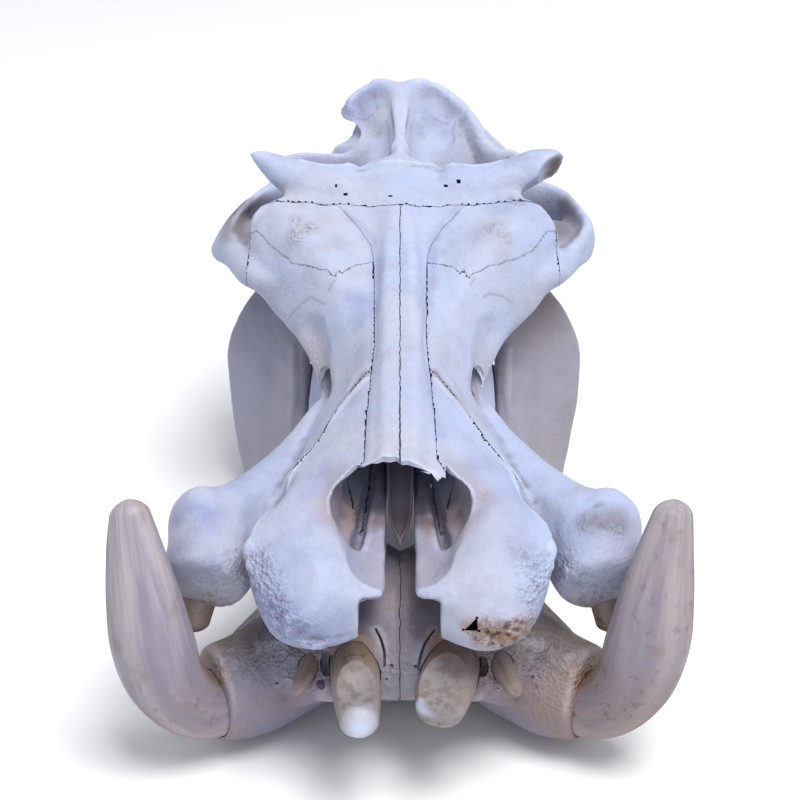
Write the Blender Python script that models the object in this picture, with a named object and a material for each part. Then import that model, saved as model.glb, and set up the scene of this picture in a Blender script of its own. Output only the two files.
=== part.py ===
"""Life-size hippopotamus skull, resting with its jaw closed.

Every size below is in millimetres and MM turns it into metres. A place is read as
x to the skull's left or right of the middle, s backwards from the front of the upper
jaw, and z up from the floor. The skull looks towards -Y.
"""
import bmesh
import bpy
import numpy as np

for old in list(bpy.data.objects):
    bpy.data.objects.remove(old)

MM = 0.001
FRONT_TO_ORIGIN = 316.0
LOPSIDED = 0.02
SUTURE = 0.5
VOXEL = 5.0
SOFTEN = 5
CRANIUM_TRIANGLES = 2450
JAW_TRIANGLES = 1100
BITE_UPPER = 158.4
BITE_LOWER = 157.6

# Roof, nasal edge, brow, cheek, flank and palate of the face: rows of s, x, z.
FACE_RAILS = (
    ((98, -20, 259), (200, -20, 274), (300, -20, 291), (392, -20, 309), (430, -20, 323),
     (463, -20, 341), (500, -20, 350), (530, -20, 355)),
    ((98, 27, 255), (200, 24, 270), (300, 24, 287), (392, 28, 306), (430, 40, 322),
     (463, 55, 341), (500, 52, 350), (530, 45, 352)),
    ((98, 60, 236), (200, 47, 255), (300, 46, 270), (350, 62, 292), (400, 96, 326),
     (435, 122, 338), (463, 130, 340), (485, 108, 342), (500, 96, 342), (530, 70, 335)),
    ((98, 102, 205), (200, 90, 212), (286, 74, 218), (340, 88, 236), (370, 106, 250),
     (400, 139, 271), (430, 151, 296), (455, 142, 308), (490, 90, 305), (530, 55, 300)),
    ((98, 98, 172), (200, 78, 184), (286, 68, 192), (360, 76, 202), (420, 92, 228),
     (470, 75, 250), (530, 45, 262)),
    ((98, 70, 165), (200, 66, 176), (440, 66, 182), (470, 45, 208), (530, 34, 236)),
    ((98, -20, 168), (200, -20, 182), (440, -20, 190), (475, -20, 216), (530, -20, 240)),
)

# Crest, shoulder, upper wall, wall, lower wall and base of the braincase: s, x, z.
BRAINCASE_RAILS = (
    ((480, -15, 346), (534, -8, 357), (590, -8, 372), (625, -12, 383), (650, -15, 389)),
    ((480, 45, 346), (534, 16, 350), (590, 12, 362), (625, 22, 380), (650, 38, 393)),
    ((480, 75, 325), (534, 38, 330), (590, 44, 335), (625, 62, 350), (650, 80, 358)),
    ((480, 75, 290), (534, 50, 300), (590, 58, 300), (625, 90, 308), (650, 128, 312)),
    ((480, 60, 255), (534, 48, 262), (590, 60, 262), (625, 84, 262), (650, 114, 262)),
    ((480, 30, 238), (534, 30, 240), (590, 40, 238), (625, 50, 236), (650, 55, 240)),
    ((480, -15, 236), (534, -15, 238), (590, -15, 238), (650, -15, 240)),
)

# Upper jaw's front bone: inner top, top, outer top, outer, underside, inner underside.
PREMAXILLA_RAILS = (
    ((0, 55, 185), (10, 34, 198), (30, 12, 208), (60, 4, 212), (90, 2, 225),
     (120, 5, 240), (160, 15, 255), (200, 25, 266), (250, 30, 276)),
    ((0, 70, 190), (10, 62, 200), (30, 62, 212), (60, 66, 220), (90, 68, 232),
     (120, 62, 241), (160, 52, 249), (200, 44, 257), (250, 36, 270)),
    ((0, 85, 180), (10, 92, 185), (30, 108, 194), (60, 118, 214), (90, 110, 224),
     (120, 92, 226), (160, 76, 230), (200, 60, 245), (250, 42, 264)),
    ((0, 92, 168), (10, 104, 170), (30, 118, 184), (60, 125, 200), (90, 118, 205),
     (120, 100, 208), (160, 80, 215), (200, 62, 232), (250, 44, 258)),
    ((0, 85, 155), (10, 98, 152), (30, 110, 160), (60, 112, 172), (90, 105, 178),
     (120, 90, 182), (160, 70, 200), (200, 55, 225), (250, 40, 252)),
    ((0, 68, 150), (10, 68, 143), (30, 66, 146), (60, 60, 156), (90, 55, 165),
     (120, 50, 172), (160, 45, 195), (200, 40, 222), (250, 34, 252)),
    ((0, 55, 158), (10, 36, 155), (30, 12, 158), (60, 4, 165), (90, 2, 172),
     (120, 5, 180), (160, 15, 200), (200, 25, 225), (250, 30, 255)),
)

# Club of the upper canine's socket: rows of x, s, z, half width, half height.
CANINE_CLUB = (
    (62, 310, 214, 10, 12), (86, 250, 192, 19, 20), (112, 195, 180, 29, 28),
    (140, 148, 176, 39, 42), (157, 115, 173, 42, 50), (161, 85, 167, 38, 47),
    (162, 66, 158, 24, 30),
)
CHEEKBONE = (
    (108, 400, 275, 18, 15), (149, 418, 290, 19, 18), (171, 444, 292, 16, 22),
    (177, 482, 289, 13, 24), (171, 526, 285, 12, 25), (157, 568, 283, 13, 25),
    (130, 600, 283, 17, 24), (88, 618, 286, 22, 26), (60, 620, 288, 20, 24),
)
# Tip of the brow: sharp on the left, blunt on the right.
BROW_HORN = {
    "left": ((50, 500, 334, 30, 24), (95, 498, 345, 28, 23), (118, 500, 355, 21, 19),
             (136, 503, 365, 12, 12), (146, 505, 371, 7, 7), (153, 506, 375, 3, 3)),
    "right": ((50, 500, 334, 30, 24), (95, 498, 345, 28, 23), (118, 500, 355, 22, 20),
              (138, 503, 361, 18, 18), (151, 505, 359, 14, 17), (161, 506, 357, 6, 9)),
}

# The nasal opening as seen from above, then the passage behind it.
NOSE_OPENING_RAILS = (
    ((58, 0, 276), (106, 0, 276)),
    ((58, 8, 250), (72, 24, 250), (88, 34, 262), (106, 34, 268)),
    ((58, 12, 232), (72, 34, 230), (88, 48, 240), (106, 52, 244)),
    ((58, 8, 220), (72, 28, 214), (88, 42, 216), (106, 46, 216)),
    ((58, 0, 214), (72, 0, 204), (88, 0, 198), (106, 0, 196)),
    ((58, -8, 220), (72, -28, 214), (88, -42, 216), (106, -46, 216)),
    ((58, -12, 232), (72, -34, 230), (88, -48, 240), (106, -52, 244)),
    ((58, -8, 250), (72, -24, 250), (88, -34, 262), (106, -34, 268)),
)
NOSE_TUNNEL_RAILS = (
    ((96, 0, 246), (160, 0, 254), (300, 0, 268), (380, 0, 270)),
    ((96, 30, 244), (160, 26, 250), (300, 20, 264), (380, 10, 268)),
    ((96, 50, 234), (160, 44, 232), (300, 32, 240), (380, 14, 255)),
    ((96, 44, 210), (160, 38, 206), (300, 28, 212), (380, 10, 245)),
    ((96, 0, 196), (160, 0, 194), (300, 0, 206), (380, 0, 242)),
    ((96, -44, 210), (160, -38, 206), (300, -28, 212), (380, -10, 245)),
    ((96, -50, 234), (160, -44, 232), (300, -32, 240), (380, -14, 255)),
    ((96, -30, 244), (160, -26, 250), (300, -20, 264), (380, -10, 268)),
)

# Jaw body from the chin backwards: inner, ridge, shoulder, side, keel and floor: s, x, z.
JAW_RAILS = (
    ((24, -12, 92), (40, -12, 112), (56, -12, 121), (110, -12, 126), (150, -12, 129),
     (178, 12, 128), (205, 26, 130), (250, 32, 134), (330, 34, 136), (420, 40, 140),
     (480, 78, 150)),
    ((24, 34, 94), (40, 46, 114), (56, 60, 121), (110, 66, 127), (150, 66, 130),
     (205, 66, 134), (250, 66, 137), (330, 68, 139), (420, 76, 142), (480, 100, 150)),
    ((24, 60, 90), (40, 84, 104), (56, 110, 112), (105, 146, 104), (150, 128, 106),
     (205, 98, 104), (250, 92, 104), (330, 92, 104), (420, 106, 108), (480, 126, 110)),
    ((24, 66, 84), (40, 96, 82), (56, 122, 76), (105, 152, 66), (150, 132, 54),
     (205, 108, 52), (250, 100, 52), (330, 98, 52), (420, 112, 56), (480, 130, 60)),
    ((24, 60, 78), (40, 80, 62), (56, 104, 44), (90, 118, 12), (120, 114, -2), (150, 104, -4),
     (205, 90, 0), (250, 84, 12), (330, 84, 22), (390, 96, 24), (430, 112, 12), (480, 126, 12)),
    ((24, 34, 80), (40, 44, 68), (56, 52, 56), (90, 60, 26), (120, 62, 4), (150, 62, -4),
     (205, 64, -1), (250, 66, 10), (330, 68, 20), (390, 80, 22), (430, 92, 12), (480, 112, 12)),
    ((24, -12, 82), (40, -12, 69), (56, -12, 57), (90, -12, 30), (120, -12, 10),
     (150, -12, 6), (178, 12, 14), (205, 28, 22), (250, 36, 28), (330, 40, 34),
     (420, 56, 34), (480, 92, 30)),
)

# Jaw branch, level by level: front, lateral wing, hollow side, rear and inner side: z, x, s.
BRANCH_RAILS = (
    ((-4, 138, 440), (20, 124, 424), (70, 104, 408), (130, 96, 410), (180, 96, 430),
     (225, 98, 456), (246, 104, 474)),
    ((-4, 152, 436), (20, 150, 434), (70, 144, 434), (130, 140, 438), (180, 134, 448),
     (225, 120, 464), (246, 114, 478)),
    ((-4, 164, 450), (20, 170, 458), (70, 178, 470), (130, 186, 478), (180, 179, 484),
     (225, 154, 488), (246, 130, 494)),
    ((-4, 160, 474), (20, 164, 492), (70, 164, 512), (130, 160, 520), (180, 152, 522),
     (225, 140, 524), (246, 130, 520)),
    ((-4, 156, 494), (20, 160, 534), (70, 160, 574), (130, 154, 596), (180, 146, 604),
     (225, 140, 608), (246, 132, 604)),
    ((-4, 146, 490), (20, 144, 530), (70, 140, 572), (130, 136, 598), (180, 130, 608),
     (225, 124, 612), (246, 120, 606)),
    ((-4, 138, 466), (20, 130, 480), (70, 122, 500), (130, 112, 510), (180, 104, 516),
     (225, 106, 520), (246, 110, 524)),
)
CORONOID = (
    (112, 478, 200, 9, 30), (114, 488, 240, 8, 24), (116, 502, 275, 7, 17),
    (118, 518, 302, 5, 10), (119, 526, 312, 3, 5),
)
JAW_SOCKET = (
    (60, 126, 72, 46, 50), (96, 102, 62, 46, 52), (130, 78, 54, 44, 49),
    (162, 60, 56, 39, 41),
)
TUSK = (
    (104, 92, 56, 22, 22), (136, 68, 49, 28, 27), (170, 46, 56, 30, 29),
    (194, 32, 92, 33, 30), (203, 30, 134, 35, 30), (209, 38, 176, 31, 27),
    (215, 52, 214, 24, 21), (221, 68, 250, 14, 13),
)
UPPER_CANINE = ((168, 106, 160, 18, 18), (177, 94, 134, 19, 18), (182, 82, 106, 15, 14))
VOMER = (
    (0, 126, 172, 3, 5), (0, 142, 182, 6, 11), (0, 180, 204, 9, 18), (0, 240, 220, 9, 18),
    (0, 300, 228, 6, 12),
)
# Egg shapes: x, s, z and the half sizes along them.
CONDYLE = (37, 652, 252, 23, 20, 27)
SKULL_BASE = (20, 630, 244, 26, 40, 16)
EAR_CAPSULE = (52, 588, 236, 15, 26, 17)
JAW_CONDYLE = (130, 600, 236, 37, 17, 15)
PAROCCIPITAL = ((84, 622, 262, 12, 14), (86, 630, 232, 9, 12), (86, 632, 206, 5, 7))
PTERYGOID = ((34, 440, 190, 7, 30), (32, 470, 208, 6, 28), (30, 500, 226, 6, 20))

# What is hollowed out on both sides of the upper skull, and then along its middle.
ORBIT = (160, 478, 334, 44, 22, 30)
ORBIT_FLOOR = (126, 474, 318, 28, 20, 20)
TEMPLE = (70, 540, 300, 12, 30, 34)
FACE_CANAL = ((46, 330, 226, 6, 8), (76, 300, 224, 9, 13), (100, 276, 224, 12, 15))
FRONT_SLOT = ((0, -20, 160, 8, 60), (0, 60, 172, 8, 60), (0, 120, 168, 12, 40),
              (0, 132, 168, 10, 30))
FRONT_NOTCH = ((-33, -40, 110), (33, 46, 191))
BRAIN_CANAL = ((0, 690, 268, 26, 22), (0, 640, 272, 21, 19), (0, 600, 284, 18, 18))
THROAT = ((0, 520, 200, 22, 26), (0, 460, 196, 20, 18), (0, 440, 192, 12, 8))
NAPE = (0, 668, 326, 76, 18, 36)
LOST_CREST = (-98, 634, 378, 44, 44, 46)
LOST_WALL = (-108, 648, 338, 56, 34, 36)

# Where the two rows of cheek teeth meet, from their front to their rear.
UPPER_BITE = ((30, 150, 100), (92, 470, BITE_UPPER))
LOWER_BITE = ((30, 150, BITE_LOWER), (92, 452, 220))
TOOTH_ROW_START = 206
UPPER_ROW = {"front_x": 57, "rear_x": 58, "root": 182, "crown": 154}
LOWER_ROW = {"front_x": 53, "rear_x": 60, "root": 130, "crown": 162}

# Cheek teeth from the front: length along the row and width across it.
CHEEK_TEETH = ((28, 20), (31, 24), (34, 28), (42, 34), (50, 38), (56, 36))

INCISORS = {
    "right": {
        "lower_incisor_1": ((46, 80, 102, 22, 22), (43, 40, 100, 24, 23),
                            (36, 8, 100, 24, 22), (31, -22, 101, 19, 16)),
        "lower_incisor_2": ((79, 84, 106, 8, 9), (83, 46, 101, 11, 11),
                            (95, 14, 93, 9, 9)),
    },
    "left": {
        "lower_incisor_1": ((40, 80, 102, 20, 21), (38, 40, 100, 21, 21),
                            (35, 0, 101, 20, 19), (32, -40, 102, 15, 13)),
        "lower_incisor_2": ((70, 84, 106, 8, 9), (73, 46, 100, 11, 11),
                            (83, 12, 93, 9, 9)),
    },
}


def curve(keys, at):
    """Values, at the stations asked for, of the smooth curve through rows (station, ...).

    Between two rows it is the cubic whose slopes at both are central differences.
    """
    keys = np.asarray(keys, float)
    station, value = keys[:, 0], keys[:, 1:]
    slope = np.gradient(value, station, axis=0)
    left = np.clip(np.searchsorted(station, at, side="right") - 1, 0, len(station) - 2)
    span = (station[left + 1] - station[left])[:, None]
    u = (np.asarray(at)[:, None] - station[left][:, None]) / span
    rise = value[left + 1] - value[left]
    blend = u * u * (3 - 2 * u)
    ease_out = u * (1 - u) ** 2
    ease_in = u * u * (u - 1)
    return value[left] + blend * rise + span * (ease_out * slope[left] + ease_in * slope[left + 1])


def close_ring(control, count):
    """Resample each ring of control points as a closed smooth curve through all of them."""
    points = control.shape[1]
    t = np.arange(count) * points / count
    i = np.floor(t).astype(int)
    u = (t - i)[None, :, None]
    p0, p1, p2, p3 = (control[:, (i + step) % points] for step in (-1, 0, 1, 2))
    return 0.5 * (2 * p1 + (p2 - p0) * u + (2 * p0 - 5 * p1 + 4 * p2 - p3) * u ** 2
                  + (3 * p1 - p0 - 3 * p2 + p3) * u ** 3)


def tube(grid):
    """Vertices and faces of a grid of rings, closed round and capped at both ends."""
    rings, around = grid.shape[:2]
    verts = np.concatenate([grid.reshape(-1, 3), grid[0].mean(0)[None], grid[-1].mean(0)[None]])
    i, j = np.meshgrid(np.arange(rings - 1) * around, np.arange(around), indexing="ij")
    k = (j + 1) % around
    quads = np.stack([i + j, i + k, i + around + k, i + around + j], -1).reshape(-1, 4)
    last = (rings - 1) * around
    first_pole = rings * around
    turn = np.arange(around)
    after = (turn + 1) % around
    start = np.stack([np.full(around, first_pole), after, turn], -1)
    end = np.stack([np.full(around, first_pole + 1), last + turn, last + after], -1)
    return verts, quads.tolist() + start.tolist() + end.tolist()


def spaced(start, end, count):
    """Stations from start to end, closer together at both ends."""
    return start + (end - start) * (1 - np.cos(np.linspace(0, np.pi, count))) / 2


def skin(rails, along, rings=44, around=36):
    """A closed skin over rails, which are lines that run along 's' or up 'z'."""
    at = spaced(rails[0][0][0], rails[0][-1][0], rings)
    control = np.stack([curve(rail, at) for rail in rails], axis=1)
    ring = close_ring(control, around)
    station = np.broadcast_to(at[:, None], ring.shape[:2])
    a, b = ring[..., 0], ring[..., 1]
    return tube(np.stack([a, station, b], -1) if along == "s" else np.stack([a, b, station], -1))


def limb(rows, up=(0, 0, 1), rings=40, around=24, blunt=(0, 0)):
    """A bar along rows of x, s, z, half width, half height; blunt rounds its ends."""
    rows = np.asarray(rows, float)
    step = np.linalg.norm(np.diff(rows[:, :3], axis=0), axis=1)
    chord = np.concatenate([[0], np.cumsum(step)])
    at = spaced(0, chord[-1], rings)
    smooth = curve(np.column_stack([chord, rows]), at)
    centre, half = smooth[:, :3], smooth[:, 3:5]
    for distance, length in ((at, blunt[0]), (chord[-1] - at, blunt[1])):
        if length:
            half = half * np.sqrt(1 - (1 - np.clip(distance / length, 0.02, 1)) ** 2)[:, None]
    tangent = np.gradient(centre, at, axis=0)
    tangent /= np.linalg.norm(tangent, axis=1)[:, None]
    side = np.cross(tangent, up)
    side /= np.linalg.norm(side, axis=1)[:, None]
    top = np.cross(side, tangent)
    angle = np.linspace(0, 2 * np.pi, around, endpoint=False)[None, :, None]
    return tube(centre[:, None] + np.cos(angle) * (side * half[:, :1])[:, None]
                + np.sin(angle) * (top * half[:, 1:])[:, None])


def ball(x, s, z, rx, rs, rz, lean=0.0):
    """An egg with its three half sizes; lean turns it nose down, in degrees."""
    theta = np.linspace(0.06, np.pi - 0.06, 18)[:, None]
    phi = np.linspace(0, 2 * np.pi, 24, endpoint=False)[None, :]
    a = rx * np.sin(theta) * np.cos(phi)
    b = rs * np.cos(theta) * np.ones_like(phi)
    c = rz * np.sin(theta) * np.sin(phi)
    tilt = np.radians(lean)
    return tube(np.stack([x + a, s + b * np.cos(tilt) - c * np.sin(tilt),
                          z + b * np.sin(tilt) + c * np.cos(tilt)], -1))


def mirrored(shape):
    """The same shape on the other side of the middle plane, still facing out."""
    verts, faces = shape
    return verts * (-1, 1, 1), [face[::-1] for face in faces]


def both(shapes):
    return list(shapes) + [mirrored(shape) for shape in shapes]


def place(verts):
    """Millimetres by x, s and z into metres in the model's own frame.

    Behind the tusks the skull's right side is a little wider than its left.
    """
    x, s, z = np.asarray(verts, float).T
    wider = 1 + LOPSIDED * np.sign(x) * np.clip((s - 50) / 50, 0, 1)
    return np.column_stack([x * wider, s - FRONT_TO_ORIGIN, z]) * MM


def mesh_object(name, shapes):
    """One object from several closed shapes, all facing out."""
    mesh = bpy.data.meshes.new(name)
    verts, faces, start = [], [], 0
    for points, polygons in shapes:
        verts.append(place(points))
        faces += [[start + index for index in face] for face in polygons]
        start += len(points)
    mesh.from_pydata(np.concatenate(verts).tolist(), [], faces)
    work = bmesh.new()
    work.from_mesh(mesh)
    bmesh.ops.recalc_face_normals(work, faces=work.faces)
    bmesh.ops.triangulate(work, faces=work.faces)
    work.to_mesh(mesh)
    work.free()
    obj = bpy.data.objects.new(name, mesh)
    bpy.context.scene.collection.objects.link(obj)
    return obj


def settle(obj):
    """Replace an object's mesh by what its modifiers make of it."""
    graph = bpy.context.evaluated_depsgraph_get()
    mesh = bpy.data.meshes.new_from_object(obj.evaluated_get(graph))
    obj.modifiers.clear()
    obj.data = mesh
    return obj


def fuse(obj, voxel, soften):
    """Fuse an object's overlapping shapes into one skin and soften it."""
    melt = obj.modifiers.new("Fuse", "REMESH")
    melt.mode = "VOXEL"
    melt.voxel_size = voxel * MM
    if soften:
        relax = obj.modifiers.new("Soften", "SMOOTH")
        relax.factor = 0.5
        relax.iterations = soften
    return settle(obj)


def cut(obj, tool, operation="DIFFERENCE", solver="MANIFOLD"):
    """Cut one object by another, or keep only what lies inside it."""
    knife = obj.modifiers.new("Cut", "BOOLEAN")
    knife.operation = operation
    knife.solver = solver
    knife.object = tool
    settle(obj)
    bpy.data.objects.remove(tool)
    return obj


def cheek_teeth(front_x, rear_x, root, crown):
    """A row of cheek teeth from its first tooth's front edge, with its roots in the bone."""
    teeth = []
    length = sum(size for size, width in CHEEK_TEETH)
    s = TOOTH_ROW_START
    for size, width in CHEEK_TEETH:
        x = front_x + (rear_x - front_x) * (s + size / 2 - TOOTH_ROW_START) / length
        half = (size / 2 - 0.5, width / 2)
        teeth.append(limb(((x, s + size / 2, root, half[0] * 0.9, half[1] * 0.9),
                           (x, s + size / 2, (root + crown) / 2, *half),
                           (x, s + size / 2, crown, *half)),
                          up=(1, 0, 0), rings=8, around=16))
        s += size
    return teeth


def cranium_form():
    """The whole upper skull as overlapping masses."""
    masses = [
        skin(FACE_RAILS, "s", 60, 48), skin(BRAINCASE_RAILS, "s"),
        skin(PREMAXILLA_RAILS, "s"), limb(CANINE_CLUB, blunt=(0, 12)),
        limb(CHEEKBONE), ball(*CONDYLE), ball(*SKULL_BASE), ball(*EAR_CAPSULE),
        limb(PAROCCIPITAL, up=(0, 1, 0)), limb(PTERYGOID),
    ]
    masses += cheek_teeth(**UPPER_ROW)
    left_horn = mirrored(limb(BROW_HORN["left"]))
    return both(masses) + [limb(BROW_HORN["right"]), left_horn]


def cranium_hollows():
    """The nasal opening, the slot between the front bones, the orbits and the rest."""
    sided = [ball(*ORBIT), ball(*ORBIT_FLOOR), ball(*TEMPLE), limb(FACE_CANAL)]
    middle = [
        skin(NOSE_OPENING_RAILS, "s"), skin(NOSE_TUNNEL_RAILS, "s"),
        limb(FRONT_SLOT), box(*FRONT_NOTCH), limb(BRAIN_CANAL), limb(THROAT), ball(*NAPE),
    ]
    return both(sided) + middle + [ball(*LOST_CREST), ball(*LOST_WALL)]


def jaw_form():
    """The whole lower jaw as overlapping masses."""
    masses = [
        skin(JAW_RAILS, "s", 60, 40), skin(BRANCH_RAILS, "z"),
        limb(CORONOID, up=(0, 1, 0)), ball(*JAW_CONDYLE),
        limb(JAW_SOCKET, blunt=(0, 8)),
    ]
    masses += cheek_teeth(**LOWER_ROW)
    return both(masses)


def slab(rows, side, grow=0.0):
    """A block read station by station: s, inner x, outer x, lowest z, highest z."""
    s, inner, outer, low, high = np.asarray(rows, float).T
    s[0] -= grow
    s[-1] += grow
    ring = [(inner - grow, low - grow), (outer + grow, low - grow),
            (outer + grow, high + grow), (inner - grow, high + grow)]
    grid = np.stack([np.stack([x, s, z], -1) for x, z in ring], 1)
    return mirrored(tube(grid)) if side == "left" else tube(grid)


def box(low, high):
    (x0, s0, z0), (x1, s1, z1) = low, high
    return slab(((s0, x0, x1, z0, z1), (s1, x0, x1, z0, z1)), "right")


# Each bone's share of the upper skull, cut in this order; what is left is the braincase.
TERRITORIES = {
    "nasal": (
        (60, 0.25, 60, 236, 320), (104, 0.25, 34, 238, 320), (118, 0.25, 29, 242, 330),
        (183, 0.25, 29, 249, 340), (233, 0.25, 26, 255, 340), (277, 0.25, 23.5, 260, 350),
        (340, 0.25, 24, 266, 360), (400, 0.25, 27, 276, 370), (416, 0.25, 29, 282, 380),
        (436, 0.25, 40, 292, 390), (449, 0.25, 54, 300, 400), (458, 0.25, 62, 305, 400),
    ),
    "premaxilla": (
        (-30, 0.25, 145, 100, 330), (60, 0.25, 134, 100, 330), (80, 0.25, 124, 100, 330),
        (95, 0.25, 119, 100, 330), (125, 0.25, 108, 204, 330), (140, 0.25, 101, 206, 330),
        (165, 0.25, 85, 213, 330), (183, 0.25, 71, 222, 330), (203, 0.25, 60, 232, 330),
        (214, 0.25, 52, 238, 330), (229, 0.25, 40, 250, 330), (240, 0.25, 24, 262, 330),
    ),
    "cheekbone": (
        (402, 152, 260, 230, 360), (455, 147, 260, 230, 338), (480, 132, 260, 230, 322),
        (560, 122, 260, 230, 325), (628, 106, 260, 230, 330),
    ),
    "frontal": (
        (360, 75, 81, 258, 400), (366, 66, 90, 260, 400), (374, 55, 105, 263, 400),
        (380, 46, 112, 265, 400), (391, 25, 125, 268, 400), (400, 20, 200, 271, 400),
        (458, 20, 200, 285, 400),
    ),
    "maxilla": ((-60, 0.25, 260, 60, 420), (458, 0.25, 260, 60, 420)),
}

BONE = (0.72, 0.72, 0.76)
JAW_BONE = (0.60, 0.58, 0.58)
DENTINE = (0.62, 0.58, 0.54)


def paint(obj, color, roughness):
    """Give a piece its own finish and smooth shading over its blunt edges."""
    finish = bpy.data.materials.new(obj.name)
    finish.use_nodes = True
    surface = finish.node_tree.nodes["Principled BSDF"]
    surface.inputs["Base Color"].default_value = (*color, 1)
    surface.inputs["Roughness"].default_value = roughness
    obj.data.materials.clear()
    obj.data.materials.append(finish)
    obj.data.shade_smooth()
    obj.data.set_sharp_from_angle(angle=np.radians(50))


def keep_largest(obj):
    """Drop the chips that a cut leaves beside the main body."""
    work = bmesh.new()
    work.from_mesh(obj.data)
    bmesh.ops.remove_doubles(work, verts=work.verts, dist=0.00002)
    bodies, seen = [], set()
    for seed in work.verts:
        if seed in seen:
            continue
        body, front = {seed}, [seed]
        while front:
            for edge in front.pop().link_edges:
                for vert in edge.verts:
                    if vert not in body:
                        body.add(vert)
                        front.append(vert)
        seen |= body
        bodies.append(body)
    bodies.sort(key=len)
    for body in bodies[:-1]:
        bmesh.ops.delete(work, geom=list(body), context="VERTS")
    work.to_mesh(obj.data)
    work.free()


def thin(obj, triangles):
    """Spend fewer triangles on a skin."""
    count = sum(len(face.vertices) - 2 for face in obj.data.polygons)
    fewer = obj.modifiers.new("Thin", "DECIMATE")
    fewer.ratio = triangles / count
    return settle(obj)


def copy_of(obj, name):
    twin = bpy.data.objects.new(name, obj.data.copy())
    bpy.context.scene.collection.objects.link(twin)
    return twin


def seat(piece):
    """A copy of a piece swollen by the gap round it, to cut the hole it sits in."""
    hole = copy_of(piece, "seat")
    work = bmesh.new()
    work.from_mesh(hole.data)
    for vert in work.verts:
        vert.co += vert.normal * vert.calc_shell_factor() * SUTURE * MM
    work.to_mesh(hole.data)
    work.free()
    return hole


def tooth(name, side, rows, up, blunt, rings, around):
    """A tooth in its own node, and the shape of its socket."""
    shape = limb(rows, up, rings, around, blunt)
    piece = mesh_object(name + "_" + side, [mirrored(shape) if side == "left" else shape])
    paint(piece, DENTINE, 0.35)
    return seat(piece)


def build_cranium():
    """The upper skull: fused, hollowed, then parted along its sutures."""
    cranium = fuse(mesh_object("braincase", cranium_form()), VOXEL, SOFTEN)
    cut(cranium, fuse(mesh_object("hollows", cranium_hollows()), VOXEL, 1))
    fuse(cranium, VOXEL, 3)
    thin(cranium, CRANIUM_TRIANGLES)
    cut(cranium, mesh_object("bite", both([box(*UPPER_BITE)])))
    for side in ("left", "right"):
        cut(cranium, tooth("upper_canine", side, UPPER_CANINE, (0, 1, 0), (0, 10), 8, 10))
    vomer = mesh_object("vomer", [limb(VOMER, rings=10, around=10)])
    cut(cranium, seat(vomer))
    paint(vomer, BONE, 0.7)
    for bone, rows in TERRITORIES.items():
        for side in ("left", "right"):
            piece = copy_of(cranium, bone + "_" + side)
            cut(piece, mesh_object("share", [slab(rows, side)]), "INTERSECT")
            cut(cranium, mesh_object("share", [slab(rows, side, SUTURE)]))
            keep_largest(piece)
            paint(piece, BONE, 0.65)
    keep_largest(cranium)
    paint(cranium, BONE, 0.65)


def build_jaw():
    """The lower jaw: fused, set flat on the floor, with its sockets, in two halves."""
    jaw = fuse(mesh_object("jaw", jaw_form()), VOXEL, SOFTEN)
    thin(jaw, JAW_TRIANGLES)
    cut(jaw, mesh_object("floor", [box((-300, -100, -60), (300, 700, 0))]))
    cut(jaw, mesh_object("bite", both([box(*LOWER_BITE)])))
    for side in ("left", "right"):
        cut(jaw, tooth("lower_tusk", side, TUSK, (0, 1, 0), (0, 14), 15, 12))
        for name, rows in INCISORS[side].items():
            cut(jaw, tooth(name, side, rows, (0, 0, 1), (0, 9), 8, 10))
    for side in ("left", "right"):
        half = copy_of(jaw, "mandible_" + side)
        cut(half, mesh_object("share", [slab(((-60, 0.25, 260, -20, 420),
                                              (700, 0.25, 260, -20, 420)), side)]), "INTERSECT")
        keep_largest(half)
        paint(half, JAW_BONE, 0.7)
    bpy.data.objects.remove(jaw)


build_cranium()
build_jaw()
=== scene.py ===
# %% [markdown]
# # The skull of a hippopotamus
#
# This lesson builds the finished look of a life-size museum model: a hippopotamus skull that
# rests on its lower jaw with the mouth closed. The CAD model gives the place and size of every
# bone and tooth. Here each of them is made again with the fine shape and finish of real bone.

# %% Load the fixed frame
import itertools

import bmesh
import bpy
import numpy as np
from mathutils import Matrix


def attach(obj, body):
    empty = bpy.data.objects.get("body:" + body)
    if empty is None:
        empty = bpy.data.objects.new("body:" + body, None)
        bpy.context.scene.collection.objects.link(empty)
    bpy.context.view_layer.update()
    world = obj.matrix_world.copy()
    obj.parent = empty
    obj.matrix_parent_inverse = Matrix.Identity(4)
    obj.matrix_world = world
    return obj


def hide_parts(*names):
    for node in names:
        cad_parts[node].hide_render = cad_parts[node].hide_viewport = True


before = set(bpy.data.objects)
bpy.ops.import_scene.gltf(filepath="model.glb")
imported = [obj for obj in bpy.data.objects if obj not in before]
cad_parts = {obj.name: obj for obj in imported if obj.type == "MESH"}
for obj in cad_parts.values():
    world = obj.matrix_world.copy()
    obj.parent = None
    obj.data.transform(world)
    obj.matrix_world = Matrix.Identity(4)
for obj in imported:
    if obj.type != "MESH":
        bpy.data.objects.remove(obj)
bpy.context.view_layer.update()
print("nodes in the frame:", len(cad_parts))

# %% [markdown]
# ## One way to write down a place
#
# A skull is easiest to measure as an anatomist does: x to the side of its middle plane, s
# backwards from the front of the upper jaw, and z up from the table, all in millimetres. Blender
# wants metres, with the model's own middle at the origin, so one function turns one into the
# other. Behind the tusks the real skull's right half is a little wider than its left.

# %% Millimetres to metres
MM = 0.001
FRONT_TO_ORIGIN = 316.0
LOPSIDED = 0.02
LEVEL_TO = 50
SIDES = ("left", "right")


def widen(points):
    """Stretch x by one fiftieth away from the middle on the right, and shrink it on the left.

    The change starts at LEVEL_TO and is whole one LEVEL_TO further back.
    """
    x, s, z = np.asarray(points, float).T
    wider = 1 + LOPSIDED * np.sign(x) * np.clip((s - LEVEL_TO) / LEVEL_TO, 0, 1)
    return np.column_stack([x * wider, s, z])


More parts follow.
